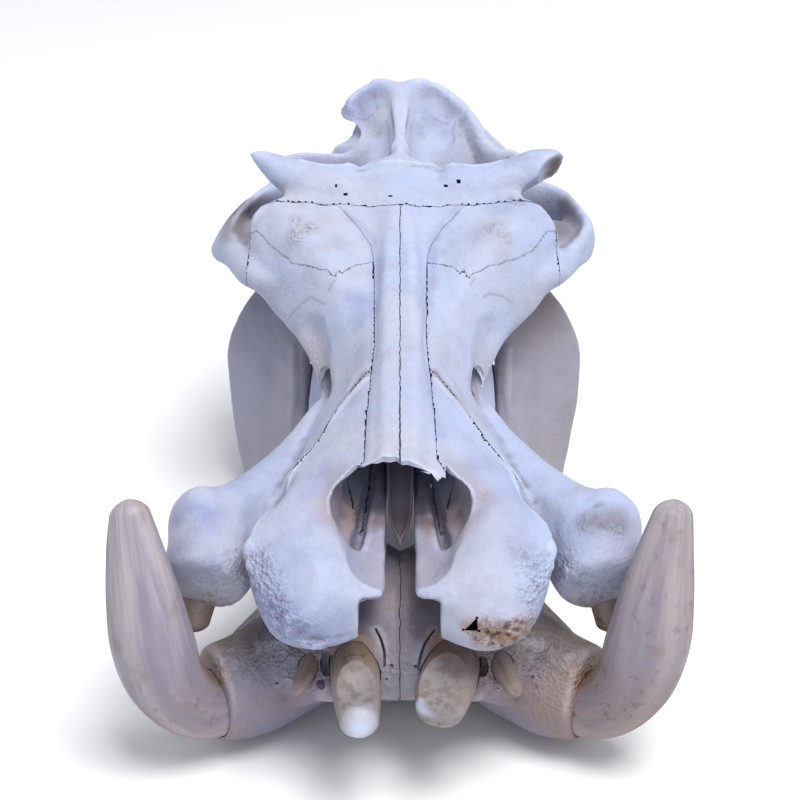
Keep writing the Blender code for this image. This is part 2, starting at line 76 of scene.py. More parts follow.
def to_metres(points):
    """Metres = millimetres / 1000, with s counted from the middle of the model."""
    return (np.asarray(points, float) - (0, FRONT_TO_ORIGIN, 0)) * MM


def read_points(obj):
    """All corners of a mesh as x, s, z in millimetres."""
    flat = np.empty(len(obj.data.vertices) * 3, np.float32)
    obj.data.vertices.foreach_get("co", flat)
    return flat.reshape(-1, 3).astype(float) / MM + (0, FRONT_TO_ORIGIN, 0)


def write_points(obj, points):
    obj.data.vertices.foreach_set("co", to_metres(points).astype(np.float32).ravel())
    obj.data.update()


def read_normals(obj):
    flat = np.empty(len(obj.data.vertices) * 3, np.float32)
    obj.data.vertex_normals.foreach_get("vector", flat)
    return np.nan_to_num(flat.reshape(-1, 3).astype(float))


print("the front of the upper jaw lies at y =", to_metres((0, 0, 0))[1], "m")

# %% [markdown]
# ## Shapes from curves
#
# Bone has no straight lines. Two kinds of shape are enough to block it out. A skin is stretched
# over rails, lines that run along the skull, like planks over the ribs of a boat. A limb is a
# round bar that swells and bends along a path. Both are grids of rings, worked out as whole
# arrays, and both are closed, so that they can later be fused like clay.

# %% Curves and closed grids
def curve(keys, at):
    """Smooth curve through rows (station, values): cubic pieces with central slopes."""
    keys = np.asarray(keys, float)
    station, value = keys[:, 0], keys[:, 1:]
    slope = np.gradient(value, station, axis=0)
    left = np.clip(np.searchsorted(station, at, side="right") - 1, 0, len(station) - 2)
    span = (station[left + 1] - station[left])[:, None]
    u = (np.asarray(at)[:, None] - station[left][:, None]) / span
    rise = value[left + 1] - value[left]
    blend = u * u * (3 - 2 * u)
    bend = u * (1 - u) ** 2 * slope[left] + u * u * (u - 1) * slope[left + 1]
    return value[left] + blend * rise + span * bend


def close_ring(control, count):
    """Closed curve through each ring of control points: cubics with neighbour slopes."""
    points = control.shape[1]
    t = np.arange(count) * points / count
    i = np.floor(t).astype(int)
    u = (t - i)[None, :, None]
    p0, p1, p2, p3 = (control[:, (i + step) % points] for step in (-1, 0, 1, 2))
    return 0.5 * (2 * p1 + (p2 - p0) * u + (2 * p0 - 5 * p1 + 4 * p2 - p3) * u ** 2
                  + (3 * p1 - p0 - 3 * p2 + p3) * u ** 3)


def tube(grid):
    """Corners and faces of a grid of rings, closed round and capped with a pole at each end."""
    rings, around = grid.shape[:2]
    verts = np.concatenate([grid.reshape(-1, 3), grid[0].mean(0)[None], grid[-1].mean(0)[None]])
    i, j = np.meshgrid(np.arange(rings - 1) * around, np.arange(around), indexing="ij")
    k = (j + 1) % around
    quads = np.stack([i + j, i + k, i + around + k, i + around + j], -1).reshape(-1, 4)
    turn = np.arange(around)
    after = (turn + 1) % around
    last = (rings - 1) * around
    start = np.stack([np.full(around, rings * around), after, turn], -1)
    end = np.stack([np.full(around, rings * around + 1), last + turn, last + after], -1)
    return verts, quads.tolist() + start.tolist() + end.tolist()


def spaced(start, end, count):
    """Stations from start to end, closer together at both ends, as a cosine."""
    return start + (end - start) * (1 - np.cos(np.linspace(0, np.pi, count))) / 2


def rails(stations, *lines):
    """Rails that share their stations: each line holds one pair of measures for each station."""
    return tuple(tuple((at, *pair) for at, pair in zip(stations, line)) for line in lines)


def skin(lines, along="s", rings=70, around=64):
    """Closed skin over rails that run along 's', or up 'z'."""
    at = spaced(lines[0][0][0], lines[0][-1][0], rings)
    control = np.stack([curve(line, at) for line in lines], axis=1)
    ring = close_ring(control, around)
    station = np.broadcast_to(at[:, None], ring.shape[:2])
    a, b = ring[..., 0], ring[..., 1]
    return tube(np.stack([a, station, b], -1) if along == "s" else np.stack([a, b, station], -1))


BLUNTEST = 0.02


def limb_grid(rows, up=(0, 0, 1), rings=48, around=32, blunt=(0, 0)):
    """Rings of a bar: ellipses across a path of x, s, z, half width, half height.

    Near a blunt end the half sizes follow a quarter circle down to almost nothing.
    """
    rows = np.asarray(rows, float)
    step = np.linalg.norm(np.diff(rows[:, :3], axis=0), axis=1)
    chord = np.concatenate([[0], np.cumsum(step)])
    at = spaced(0, chord[-1], rings)
    smooth = curve(np.column_stack([chord, rows]), at)
    centre, half = smooth[:, :3], smooth[:, 3:5]
    for distance, length in ((at, blunt[0]), (chord[-1] - at, blunt[1])):
        if length:
            part = np.clip(distance / length, BLUNTEST, 1)
            half = half * np.sqrt(1 - (1 - part) ** 2)[:, None]
    tangent = np.gradient(centre, at, axis=0)
    tangent /= np.linalg.norm(tangent, axis=1)[:, None]
    side = np.cross(tangent, up)
    side /= np.linalg.norm(side, axis=1)[:, None]
    top = np.cross(side, tangent)
    angle = np.linspace(0, 2 * np.pi, around, endpoint=False)
    turn = angle[None, :, None]
    across = np.cos(turn) * (side * half[:, :1])[:, None] + np.sin(turn) * (top * half[:, 1:])[:, None]
    return centre[:, None], across, at, angle


def limb(rows, **how):
    """The closed bar of limb_grid."""
    centre, across = limb_grid(rows, **how)[:2]
    return tube(centre + across)


POLE_GAP = 0.06


def egg(x, s, z, rx, rs, rz, rings=24, around=32):
    """Egg shape: a sphere's angles, in radians, with a half size for each direction."""
    theta = np.linspace(POLE_GAP, np.pi - POLE_GAP, rings)[:, None]
    phi = np.linspace(0, 2 * np.pi, around, endpoint=False)[None, :]
    a = rx * np.sin(theta) * np.cos(phi)
    b = rs * np.cos(theta) * np.ones_like(phi)
    c = rz * np.sin(theta) * np.sin(phi)
    return tube(np.stack([x + a, s + b, z + c], -1))


def mirrored(shape):
    verts, faces = shape
    return verts * (-1, 1, 1), [face[::-1] for face in faces]


def both(shapes):
    return list(shapes) + [mirrored(shape) for shape in shapes]


print("an egg has", len(egg(0, 0, 0, 1, 1, 1)[0]), "corners")

# %% [markdown]
# ## Clay tools
#
# Three of Blender's modifiers do the heavy work. A voxel remesh melts overlapping shapes into
# one even skin, a smooth modifier softens its joints as tissue did on the living bone, and a
# boolean cuts one solid with another. Each result is kept at once, so the next tool starts from
# a plain mesh.

# %% Objects, fusing and cutting
def solid(name, shapes, lopsided=True):
    """One object from closed shapes, triangulated, with every face turned outwards."""
    verts, faces, start = [], [], 0
    for points, polygons in shapes:
        verts.append(points)
        faces += [[start + index for index in face] for face in polygons]
        start += len(points)
    points = np.concatenate(verts)
    mesh = bpy.data.meshes.new(name)
    mesh.from_pydata(to_metres(widen(points) if lopsided else points).tolist(), [], faces)
    work = bmesh.new()
    work.from_mesh(mesh)
    bmesh.ops.recalc_face_normals(work, faces=work.faces)
    bmesh.ops.triangulate(work, faces=work.faces)
    work.to_mesh(mesh)
    work.free()
    obj = bpy.data.objects.new(name, mesh)
    bpy.context.scene.collection.objects.link(obj)
    return obj


def settle(obj):
    """Replace an object's mesh by what its modifiers make of it."""
    graph = bpy.context.evaluated_depsgraph_get()
    mesh = bpy.data.meshes.new_from_object(
        obj.evaluated_get(graph), preserve_all_data_layers=True, depsgraph=graph)
    obj.modifiers.clear()
    obj.data = mesh
    return obj


def fuse(obj, voxel, soften):
    """Melt overlapping shapes into one skin of squares 'voxel' mm wide, then soften it."""
    melt = obj.modifiers.new("Melt", "REMESH")
    melt.mode = "VOXEL"
    melt.voxel_size = voxel * MM
    if soften:
        relax = obj.modifiers.new("Soften", "SMOOTH")
        relax.factor = 0.5
        relax.iterations = soften
    return settle(obj)


def cut(obj, tool, operation="DIFFERENCE", keep_tool=False):
    """Cut one solid by another, or keep only what lies inside it."""
    knife = obj.modifiers.new("Cut", "BOOLEAN")
    knife.operation = operation
    knife.solver = "MANIFOLD"
    knife.object = tool
    settle(obj)
    if not keep_tool:
        bpy.data.objects.remove(tool)
    return obj


MERGE, SLIVER = 0.03, 0.01


def clean(obj):
    """Merge corners that the cuts leave almost on one another, and drop flat slivers."""
    work = bmesh.new()
    work.from_mesh(obj.data)
    bmesh.ops.remove_doubles(work, verts=work.verts, dist=MERGE * MM)
    bmesh.ops.dissolve_degenerate(work, edges=work.edges, dist=SLIVER * MM)
    bmesh.ops.triangulate(work, faces=work.faces)
    work.to_mesh(obj.data)
    work.free()


def copy_of(obj, name):
    twin = bpy.data.objects.new(name, obj.data.copy())
    bpy.context.scene.collection.objects.link(twin)
    return twin


# %% [markdown]
# ## Unevenness
#
# A perfectly smooth skull looks like plastic. Random values on the corners of a cubic lattice,
# eased from one to the next, give hills and hollows of any size that stay the same each time
# the lesson runs, because the random numbers start from a fixed seed.

# %% Smooth random heights
LATTICE_SIZE = 32
LATTICE_SHIFT = 100.37
LATTICE = np.random.default_rng(11).uniform(-1, 1, (LATTICE_SIZE,) * 3)


def hills(points, size):
    """Smooth random height at each point, changing over 'size' mm, between -1 and 1.

    The heights at the eight corners of a lattice cell are mixed with weights 3u^2 - 2u^3.
    """
    place = np.asarray(points) / size + LATTICE_SHIFT
    cell = np.floor(place).astype(int)
    u = place - cell
    u = u * u * (3 - 2 * u)
    total = np.zeros(len(place))
    for corner in itertools.product((0, 1), repeat=3):
        weight = np.prod(np.where(corner, u, 1 - u), axis=1)
        i, j, k = ((cell + corner) % LATTICE_SIZE).T
        total += weight * LATTICE[i, j, k]
    return total


def layered(points, layers):
    """The sum of hills in layers: rows of height, a shift of the place, and the hills' size."""
    return sum(height * hills(points + shift, size) for height, shift, size in layers)


NO_LENGTH = 1e-9


def nearness(points, path, reach):
    """1 on a path and 0 beyond its reach: the square of 1 - (distance / reach) squared."""
    path = np.asarray(path, float).reshape(-1, 3)
    inside = np.all((points > path.min(0) - reach) & (points < path.max(0) + reach), axis=1)
    here = points[inside]
    nearest = np.full(len(here), float(reach) ** 2)
    for a, b in zip(path[:max(len(path) - 1, 1)], path[min(1, len(path) - 1):]):
        line = b - a
        t = np.clip((here - a) @ line / max(line @ line, NO_LENGTH), 0, 1)
        nearest = np.minimum(nearest, ((here - a - t[:, None] * line) ** 2).sum(1))
    weight = np.zeros(len(points))
    weight[inside] = (1 - nearest / reach ** 2) ** 2
    return weight


def flipped(path):
    return [(-x, s, z) for x, s, z in path]


def on_both_sides(strokes):
    return strokes + tuple((height, reach, flipped(path)) for height, reach, path in strokes)


def two(amount, reach, path):
    """One stroke or mark, and the same on the other side."""
    return on_both_sides(((amount, reach, path),))


def press(obj, strokes):
    """Push the skin along its normals: out by each stroke's height near its path, or in."""
    points, normals = read_points(obj), read_normals(obj)
    push = sum(height * nearness(points, path, reach) for height, reach, path in strokes)
    write_points(obj, points + normals * push[:, None])


print("heights at three places:", hills(20 * np.eye(3), 38).round(2))

# %% [markdown]
# ## The upper skull in clay
#
# The upper skull is blocked out from a dozen masses: the long face, the braincase, the two bones
# of the muzzle, the sockets of the canines, the cheekbones that arch outwards, and the horns
# of the brow. Each rail below is one line along the bone: the roof, the edge of the nose, the
# brow, the cheek and so on down to the palate.

# %% Masses of the upper skull
FACE_RAILS = (
    ((84, -20, 257), (98, -20, 259), (200, -20, 274), (300, -20, 291), (392, -20, 309),
     (430, -20, 323), (463, -20, 341), (500, -20, 350), (530, -20, 355)),
    ((84, 27, 253), (98, 27, 255), (200, 24, 270), (300, 24, 287), (392, 28, 306), (430, 40, 322),
     (463, 55, 341), (500, 52, 350), (530, 45, 352)),
    ((84, 50, 234), (98, 60, 236), (200, 47, 255), (300, 46, 270), (350, 62, 292), (400, 96, 326),
     (435, 122, 338), (463, 130, 340), (485, 108, 342), (500, 96, 342), (530, 70, 335)),
    ((84, 92, 200), (98, 102, 205), (200, 90, 212), (286, 74, 218), (340, 88, 236), (370, 106, 250),
     (400, 139, 271), (430, 151, 296), (455, 142, 308), (490, 90, 305), (530, 55, 300)),
    ((84, 90, 172), (98, 98, 172), (200, 78, 184), (286, 68, 192), (360, 76, 202), (420, 92, 228),
     (470, 75, 250), (530, 45, 262)),
    ((84, 66, 166), (98, 70, 165), (200, 66, 176), (440, 66, 182), (470, 45, 208), (530, 34, 236)),
    ((84, -20, 168), (98, -20, 168), (200, -20, 182), (440, -20, 190), (475, -20, 216),
     (530, -20, 240)),
)
BRAINCASE_RAILS = (
    ((480, -15, 346), (534, -8, 357), (590, -8, 370), (625, -12, 381), (650, -15, 387)),
    ((480, 45, 346), (534, 16, 350), (590, 12, 358), (625, 22, 374), (650, 38, 388)),
    ((480, 75, 325), (534, 38, 330), (590, 44, 333), (625, 62, 348), (650, 80, 356)),
    ((480, 75, 290), (534, 50, 300), (590, 58, 300), (625, 90, 308), (650, 124, 312)),
    ((480, 60, 255), (534, 48, 262), (590, 60, 262), (625, 84, 262), (650, 114, 262)),
    ((480, 30, 238), (534, 30, 240), (590, 40, 238), (625, 50, 236), (650, 55, 240)),
    ((480, -15, 236), (534, -15, 238), (590, -15, 238), (650, -15, 240)),
)
MUZZLE_RAILS = rails(
    (0, 10, 30, 60, 90, 120, 160, 200, 250),
    ((55, 180), (34, 186), (12, 188), (6, 188), (4, 192), (5, 230), (15, 253), (25, 266), (30, 276)),
    ((62, 187), (50, 197), (40, 203), (40, 206), (42, 214), (34, 238), (30, 254), (32, 263),
     (33, 274)),
    ((72, 189), (70, 201), (72, 214), (76, 222), (74, 233), (66, 240), (56, 247), (46, 256),
     (36, 270)),
    ((86, 181), (94, 188), (110, 200), (120, 214), (113, 223), (99, 225), (82, 229), (64, 243),
     (43, 264)),
    ((92, 168), (103, 172), (118, 188), (124, 204), (116, 210), (96, 212), (78, 216), (61, 232),
     (44, 258)),
    ((85, 155), (98, 152), (110, 162), (112, 175), (103, 182), (88, 186), (70, 200), (55, 225),
     (40, 252)),
    ((68, 150), (68, 143), (66, 146), (60, 156), (55, 165), (50, 172), (45, 195), (40, 222),
     (34, 252)),
    ((55, 158), (36, 155), (12, 158), (6, 165), (4, 170), (5, 180), (15, 200), (25, 225), (30, 255)),
)
print("rails of face, braincase and muzzle:", len(FACE_RAILS), len(BRAINCASE_RAILS), len(MUZZLE_RAILS))

# %% [markdown]
# The other masses are limbs and eggs. A limb's rows give a place and two half sizes. The horn of
# the brow, the rim of the nape and the cheekbone differ from side to side, as growth and damage
# made them: the left horn is sharp, the right one blunt, and the rim's left end is lost.

# %% Limbs and eggs of the upper skull
CANINE_CLUB = (
    (62, 310, 214, 10, 12), (86, 250, 192, 18, 19), (112, 195, 182, 27, 26),
    (139, 150, 175, 36, 36), (157, 118, 174, 41, 47), (162, 88, 168, 38, 46),
    (164, 68, 160, 31, 38),
)
CLUB_CORNER = (171, 116, 189, 30, 33, 37)
ORBIT_BED = (152, 480, 284, 26, 50, 20)
CHEEKBONE = {
    "right": ((108, 400, 275, 18, 15), (148, 418, 285, 13, 15), (170, 446, 290, 10, 16),
              (184, 482, 289, 8, 22), (174, 526, 291, 8, 24), (160, 568, 288, 10, 24),
              (130, 600, 285, 15, 24), (88, 618, 286, 22, 26), (60, 620, 288, 20, 24)),
    "left": ((108, 400, 275, 18, 15), (149, 418, 285, 13, 15), (167, 446, 290, 10, 15),
             (182, 482, 289, 7, 22), (173, 526, 292, 7, 24), (158, 568, 288, 9, 24),
             (130, 600, 286, 14, 24), (88, 618, 286, 22, 26), (60, 620, 288, 20, 24)),
}
CHEEKBONE_LEAN = {"right": (0, 0, 1), "left": (-0.6, 0, 0.8)}
BROW_HORN = {
    "left": ((50, 500, 334, 30, 24), (95, 498, 345, 27, 21), (118, 500, 355, 20, 17),
             (136, 503, 365, 12, 11), (146, 505, 371, 7, 7), (153, 506, 375, 3, 3)),
    "right": ((50, 500, 334, 30, 24), (95, 498, 345, 27, 21), (118, 500, 355, 21, 18),
              (138, 503, 361, 18, 16), (151, 505, 360, 15, 16), (161, 506, 358, 8, 11)),
}
NAPE_RIM = {
    "right": ((2, 652, 386, 6, 7), (12, 655, 390, 7, 7), (24, 655, 390, 8, 7), (40, 652, 386, 8, 8),
              (52, 648, 379, 8, 8), (64, 643, 370, 8, 8), (73, 638, 360, 8, 8), (80, 632, 350, 8, 9),
              (86, 624, 337, 9, 10), (100, 616, 317, 8, 22), (118, 610, 312, 8, 24),
              (136, 600, 300, 10, 18)),
    "left": ((2, 652, 386, 6, 7), (12, 655, 390, 7, 7), (24, 655, 390, 8, 7), (37, 651, 385, 8, 8),
             (46, 647, 380, 7, 8), (54, 643, 374, 7, 8), (48, 634, 362, 6, 8), (43, 626, 353, 6, 8),
             (40, 617, 344, 7, 8), (40, 607, 336, 8, 9), (58, 600, 319, 7, 20),
             (84, 600, 314, 7, 24), (112, 602, 311, 8, 25), (136, 598, 300, 10, 18)),
}
CREST = ((0, 650, 380, 4, 8), (0, 600, 371, 3, 7), (0, 560, 360, 3, 7), (0, 540, 354, 3, 7))
CONDYLE = (37, 652, 252, 23, 20, 27)
SKULL_BASE = (20, 630, 244, 26, 40, 16)
EAR_CAPSULE = (52, 588, 236, 15, 26, 17)
JAW_CONDYLE = (130, 600, 236, 37, 17, 15)
NECK_SPUR = ((84, 622, 262, 12, 14), (86, 630, 232, 9, 12), (86, 632, 206, 5, 7))
PALATE_WING = ((34, 440, 190, 7, 30), (32, 470, 208, 6, 28), (30, 500, 226, 6, 20))
print("rows of the nape's rim:", {side: len(rows) for side, rows in NAPE_RIM.items()})

# %% [markdown]
# The cheek teeth stand in two rows of six. Seen from above, a hippopotamus molar is a clover
# leaf, so each crown is an oval whose half width grows and shrinks with four lobes around it.

# %% Cheek teeth
TOOTH_ROW_START = 206
CHEEK_TEETH = ((28, 20), (31, 24), (34, 28), (42, 34), (50, 38), (56, 36))
UPPER_ROW = {"front_x": 57, "rear_x": 58, "root": 182, "crown": 153}
LOWER_ROW = {"front_x": 53, "rear_x": 60, "root": 130, "crown": 163}
TOOTH_GAP = 0.8
LOBES, LOBE_DEPTH = 4, 0.09
NECK, WAIST, TIP = (0.86, 1.0), (1.0, 0.6), (0.95, 0.0)


def cheek_teeth(front_x, rear_x, root, crown):
    """Crowns along a row: ovals of radius x (1 + depth x cos(lobes x angle)), roots in the bone.

    NECK, WAIST and TIP give a share of the full width, and how far up it lies, root 1 and crown 0.
    """
    teeth, s = [], TOOTH_ROW_START
    length = sum(size for size, width in CHEEK_TEETH)
    for size, width in CHEEK_TEETH:
        x = front_x + (rear_x - front_x) * (s + size / 2 - TOOTH_ROW_START) / length
        rows = [(x, s + size / 2, root * high + crown * (1 - high),
                 (size - TOOTH_GAP) / 2 * part, width / 2 * part) for part, high in (NECK, WAIST, TIP)]
        centre, across_it, at, angle = limb_grid(rows, up=(1, 0, 0), rings=14, around=48)
        lobes = 1 + LOBE_DEPTH * np.cos(LOBES * angle)[None, :, None]
        teeth.append(tube(centre + across_it * lobes))
        s += size
    return teeth


print("a row of cheek teeth is", sum(size for size, width in CHEEK_TEETH), "mm long")

# %% [markdown]
# Now the masses are fused. The first melt is coarse and soft, like the broad work of a sculptor.

# %% Fuse the upper skull
def upper_masses():
    """All the masses, those of both sides mirrored, with each side's own horn, rim and cheekbone."""
    sided = [skin(FACE_RAILS), skin(BRAINCASE_RAILS), skin(MUZZLE_RAILS),
             limb(CANINE_CLUB, blunt=(0, 6)), egg(*CLUB_CORNER), egg(*ORBIT_BED), egg(*CONDYLE),
             egg(*SKULL_BASE), egg(*EAR_CAPSULE), limb(NECK_SPUR, up=(0, 1, 0)), limb(PALATE_WING)]
    sided += cheek_teeth(**UPPER_ROW)
    left, right = ([limb(BROW_HORN[side]), limb(NAPE_RIM[side]),
                    limb(CHEEKBONE[side], up=CHEEKBONE_LEAN[side])] for side in SIDES)
    return both(sided) + right + [mirrored(shape) for shape in left] + [limb(CREST)]


skull = fuse(solid("skull", upper_masses()), voxel=3.2, soften=9)
print("clay skull:", len(skull.data.vertices), "corners")

# %% [markdown]
# ## Hollows
#
# A skull is mostly holes. The nose opens like a funnel: its floor is two plates of bone that run
# back beside a thin keel, and beside each plate is a slot right through the roof of the mouth.
# Behind the brow are the eye sockets, and under the cheekbones the great gaps for the
# jaw muscles. All these are solids too, cut out of the clay before its second, finer melt.

# %% Hollows of the upper skull
NOSE_FUNNEL = rails(
    (24, 44, 60, 80, 92, 102, 120),
    ((0, 225), (0, 241), (0, 249), (0, 255), (0, 256), (0, 256.5), (0, 257)),
    ((16, 224), (30, 236), (44, 241), (52, 244), (50, 246), (42, 248), (32, 252)),
    ((22, 214), (42, 218), (54, 223), (59, 232), (59, 238), (56, 238), (51, 234)),
    ((22, 204), (38, 203), (45, 205), (48, 208), (53, 211), (54, 212), (50, 212)),
    ((16, 192), (26, 188), (32, 190), (37, 193), (42, 195), (45, 197), (44, 198)),
    ((0, 188), (0, 183), (0, 183), (0, 187), (0, 190), (0, 192), (0, 193)),
)
NOSE_TUNNEL = rails(
    (100, 160, 300, 380),
    ((0, 256), (0, 262), (0, 275), (0, 273)),
    ((32, 251), (27, 256), (20, 269), (10, 270)),
    ((50, 234), (44, 232), (32, 240), (14, 255)),
    ((46, 208), (42, 206), (28, 212), (10, 245)),
    ((0, 193), (0, 195), (0, 206), (0, 242)),
)
PALATE_SLOT = (
    (38, 84, 186, 3, 22), (37.5, 92, 190, 4.5, 20), (34, 115, 196, 4.5, 18),
    (30, 150, 204, 4.5, 17), (26.5, 190, 208, 4.5, 15), (25, 220, 210, 3, 12),
)
FRONT_SLOT = ((0, -20, 160, 12, 60), (0, 60, 172, 12.5, 60), (0, 100, 170, 13, 50),
              (0, 160, 180, 13, 34), (0, 215, 192, 12, 24))
PLATE_SLOPE = ((0, 10, 228, 44, 30), (0, 36, 217, 44, 30), (0, 54, 209, 44, 30),
               (0, 80, 213, 42, 30), (0, 104, 221, 34, 30))
FRONT_NOTCH = ((-40, 110), (55, 110), (55, 164), (47, 170), (30, 181), (8, 195), (-20, 213), (-40, 213))
NOTCH_HALF = 33.5
HORN_FACE = (169, 478, 351, 36, 36, 36)
LOBE_NOTCH = (-72, 625, 349, 28, 46, 12)
ORBIT = (160, 478, 334, 44, 22, 30)
ORBIT_FLOOR = (126, 474, 318, 28, 20, 20)
TEMPLE = (70, 540, 300, 12, 30, 34)
FACE_CANAL = ((46, 330, 226, 6, 8), (76, 300, 224, 9, 13), (100, 276, 224, 12, 15))
BRAIN_CANAL = ((0, 690, 268, 26, 22), (0, 640, 272, 21, 19), (0, 600, 284, 18, 18))
THROAT = ((0, 520, 200, 22, 26), (0, 460, 196, 20, 18), (0, 440, 192, 12, 8))
NAPE = (0, 668, 326, 76, 18, 36)
LOST_CREST = (-106, 634, 374, 44, 50, 46)
LOST_WALL = (-108, 648, 338, 56, 34, 36)
EDGE_SHADOW = ((32, 236, 273, 2, 2), (54, 214, 254, 3, 3), (74, 186, 234, 4, 4),
               (91, 163, 219, 5, 6), (107, 140, 208, 7, 8), (117, 112, 204, 8, 8),
               (124, 86, 199, 7, 7))
EDGE_SHADOW_PATH = tuple(row[:3] for row in EDGE_SHADOW)


print("hollows: the funnel of the nose starts", NOSE_FUNNEL[0][0][0], "mm behind the front")

# %% [markdown]
# The hollows are melted together before they are cut, so their walls meet softly. The second
# melt of the skull is finer than the first, and keeps the edges of the holes.

# %% Cut the hollows
def whole(lines):
    """Rails of a cut-out shape that lies across the middle: the right half's, then back up the left."""
    back = tuple(tuple((s, -x, z) for s, x, z in line) for line in lines[-2:0:-1])
    return lines + back


def box(low, high):
    """A block from its lowest to its highest corner."""
    (x0, s0, z0), (x1, s1, z1) = low, high
    ring = np.array([(x0, z0), (x1, z0), (x1, z1), (x0, z1)], float)
    ends = [np.column_stack([ring[:, 0], np.full(4, s), ring[:, 1]]) for s in (s0, s1)]
    return tube(np.stack(ends))


def crosswise(outline, half):
    """A block that runs from side to side: a closed outline of s, z, half a width each way."""
    s, z = np.asarray(outline, float).T
    return tube(np.stack([np.column_stack([np.full(len(s), x), s, z]) for x in (-half, half)]))


def upper_hollows():
    """All the hollows, those of both sides mirrored, and the parts that this animal has lost."""
    sided = [egg(*ORBIT), egg(*ORBIT_FLOOR), egg(*TEMPLE), limb(FACE_CANAL), limb(PALATE_SLOT),
             limb(EDGE_SHADOW)]
    middle = [skin(whole(NOSE_FUNNEL)), skin(whole(NOSE_TUNNEL)), limb(FRONT_SLOT),
              limb(PLATE_SLOPE), crosswise(FRONT_NOTCH, NOTCH_HALF), limb(BRAIN_CANAL),
              limb(THROAT), egg(*NAPE)]
    lost = [egg(*place) for place in (LOST_CREST, LOST_WALL, LOBE_NOTCH, HORN_FACE)]
    return both(sided) + middle + lost


cut(skull, fuse(solid("hollows", upper_hollows()), voxel=2.6, soften=1))
fuse(skull, voxel=2.1, soften=4)
print("hollowed skull:", len(skull.data.vertices), "corners")

# %% [markdown]
# ## Modelling with strokes
#
# What makes one skull different from the next is added as a sculptor adds it: strokes that press
# the clay in or let it swell. A stroke is a path, a reach and a height. Paths on one side only
# are the marks of this very animal, and the others are used on both sides.

# %% Strokes on the upper skull
NASAL_EDGE = {
    "left": ((-54, 448, 334), (-41, 437, 327), (-27, 419, 318), (-24, 390, 308), (-23, 336, 295),
             (-23, 277, 285), (-25, 233, 276), (-28, 197, 268), (-29, 157, 262), (-30, 115, 256)),
    "right": ((54, 449, 334), (39, 435, 326), (29, 413, 316), (30, 397, 309), (27, 353, 297),
              (21, 274, 286), (25, 233, 276), (29, 183, 266), (34, 146, 259), (37, 109, 247)),
}
MUZZLE_EDGE = ((30, 226, 271), (50, 212, 254), (70, 187, 238), (86, 162, 226), (102, 128, 222),
               (112, 92, 220), (120, 64, 211), (121, 45, 200))
TEMPLE_LINE = ((2, 512, 360), (28, 515, 357), (50, 509, 357), (72, 499, 363), (98, 500, 369))
NOSE_RIM = ((38, 113, 253), (46, 109, 246), (53, 104, 240), (57, 96, 235))

EACH_SIDE = (
    (-6, 22, ((82, 345, 256), (78, 325, 244), (75, 305, 228), (70, 286, 224))),
    (-2.5, 18, ((42, 345, 295), (44, 322, 288))),
    (4, 36, ((98, 412, 331),)),
    (2.5, 7, ((112, 463, 341), (134, 454, 335), (147, 441, 324), (153, 430, 313))),
    (-6, 24, ((34, 540, 352), (58, 530, 350), (86, 522, 352))),
    (2.4, 6, TEMPLE_LINE),
    (-6, 22, ((28, 640, 382), (42, 628, 366), (34, 610, 354))),
    (-4, 18, ((20, 600, 358), (24, 575, 354))),
    (1.5, 4, ((0, 646, 389), (0, 600, 372), (0, 562, 362))),
    (-3.6, 7, ((6, 636, 384), (6, 600, 370), (6, 574, 362))),
    (-6, 28, ((110, 106, 212), (102, 132, 208))), (3.5, 12, ((122, 58, 208),)),
    (2.0, 6, ((0, 648, 389), (14, 655, 394), (28, 656, 396))),
    (2.0, 7, ((0, 562, 362), (14, 540, 359), (30, 520, 357), (52, 508, 358))),
    (2.0, 5, MUZZLE_EDGE),
    (1.2, 4, NOSE_RIM),
    (-0.7, 3.5, ((60, 460, 341), (90, 452, 338), (104, 449, 339), (118, 455, 341))),
)
ONE_SIDE = (
    (-1.6, 4, ((-72, 0, 162), (-46, 4, 160), (-36, 13, 161))),
    (1.4, 3.2, ((72, 20, 195), (82, 18, 186))), (1.4, 3.2, ((80, 24, 196), (92, 22, 186))),
    (1.4, 3.2, ((90, 28, 197), (99, 26, 188))), (-1.0, 4, ((86, 22, 192), (78, 18, 188))),
    (-2.0, 5, ((150, 100, 222), (158, 104, 222), (168, 106, 221))),
    (-1.8, 7, ((158, 88, 212), (170, 84, 212), (176, 84, 208))),
    (-1.4, 5, ((142, 70, 190), (150, 64, 184))),
    (-0.8, 3.5, NASAL_EDGE["left"]),
    (-0.8, 3.5, NASAL_EDGE["right"]),
    (-0.8, 3.5, ((0, 440, 334), (0, 380, 311), (0, 250, 284), (0, 112, 261))),
    (-1.5, 7, ((-166, 60, 150), (-158, 66, 140))),
)
ROUGH = (
    (1.0, 28, ((-112, 42, 200), (-102, 18, 187), (-88, 2, 172), (-70, 0, 156))),
    (0.8, 24, ((96, 43, 207), (112, 42, 201), (104, 24, 190))),
    (1.7, 24, ((74, 0, 166), (98, 6, 162))),
    (0.6, 30, ((140, 66, 180), (165, 70, 160), (150, 80, 140))),
    (0.7, 18, ((158, 88, 212), (176, 86, 208))),
    (0.6, 32, ((-135, 66, 180), (-160, 60, 160), (-150, 80, 135))),
    (0.7, 14, ((-86, 418, 331), (-98, 405, 328), (-100, 425, 333))),
    (0.5, 14, ((90, 415, 331), (100, 405, 328))),
    (0.6, 12, ((108, 456, 341), (120, 458, 342))),
)

press(skull, on_both_sides(EACH_SIDE) + ONE_SIDE)
print("strokes on the skull:", 2 * len(EACH_SIDE) + len(ONE_SIDE))

# %% [markdown]
# Weather comes after the strokes. The whole skin gets low hills and fine lumps, and the
# muscle and gum areas, where real bone is rough, get stronger and smaller ones.

# %% Weather the skin
UNEVEN = ((1.0, 0, 38), (0.45, 50, 13), (0.14, 0, 5))
RUGGED = ((1.0, 9, 6.5), (0.9, 0, 3.4))


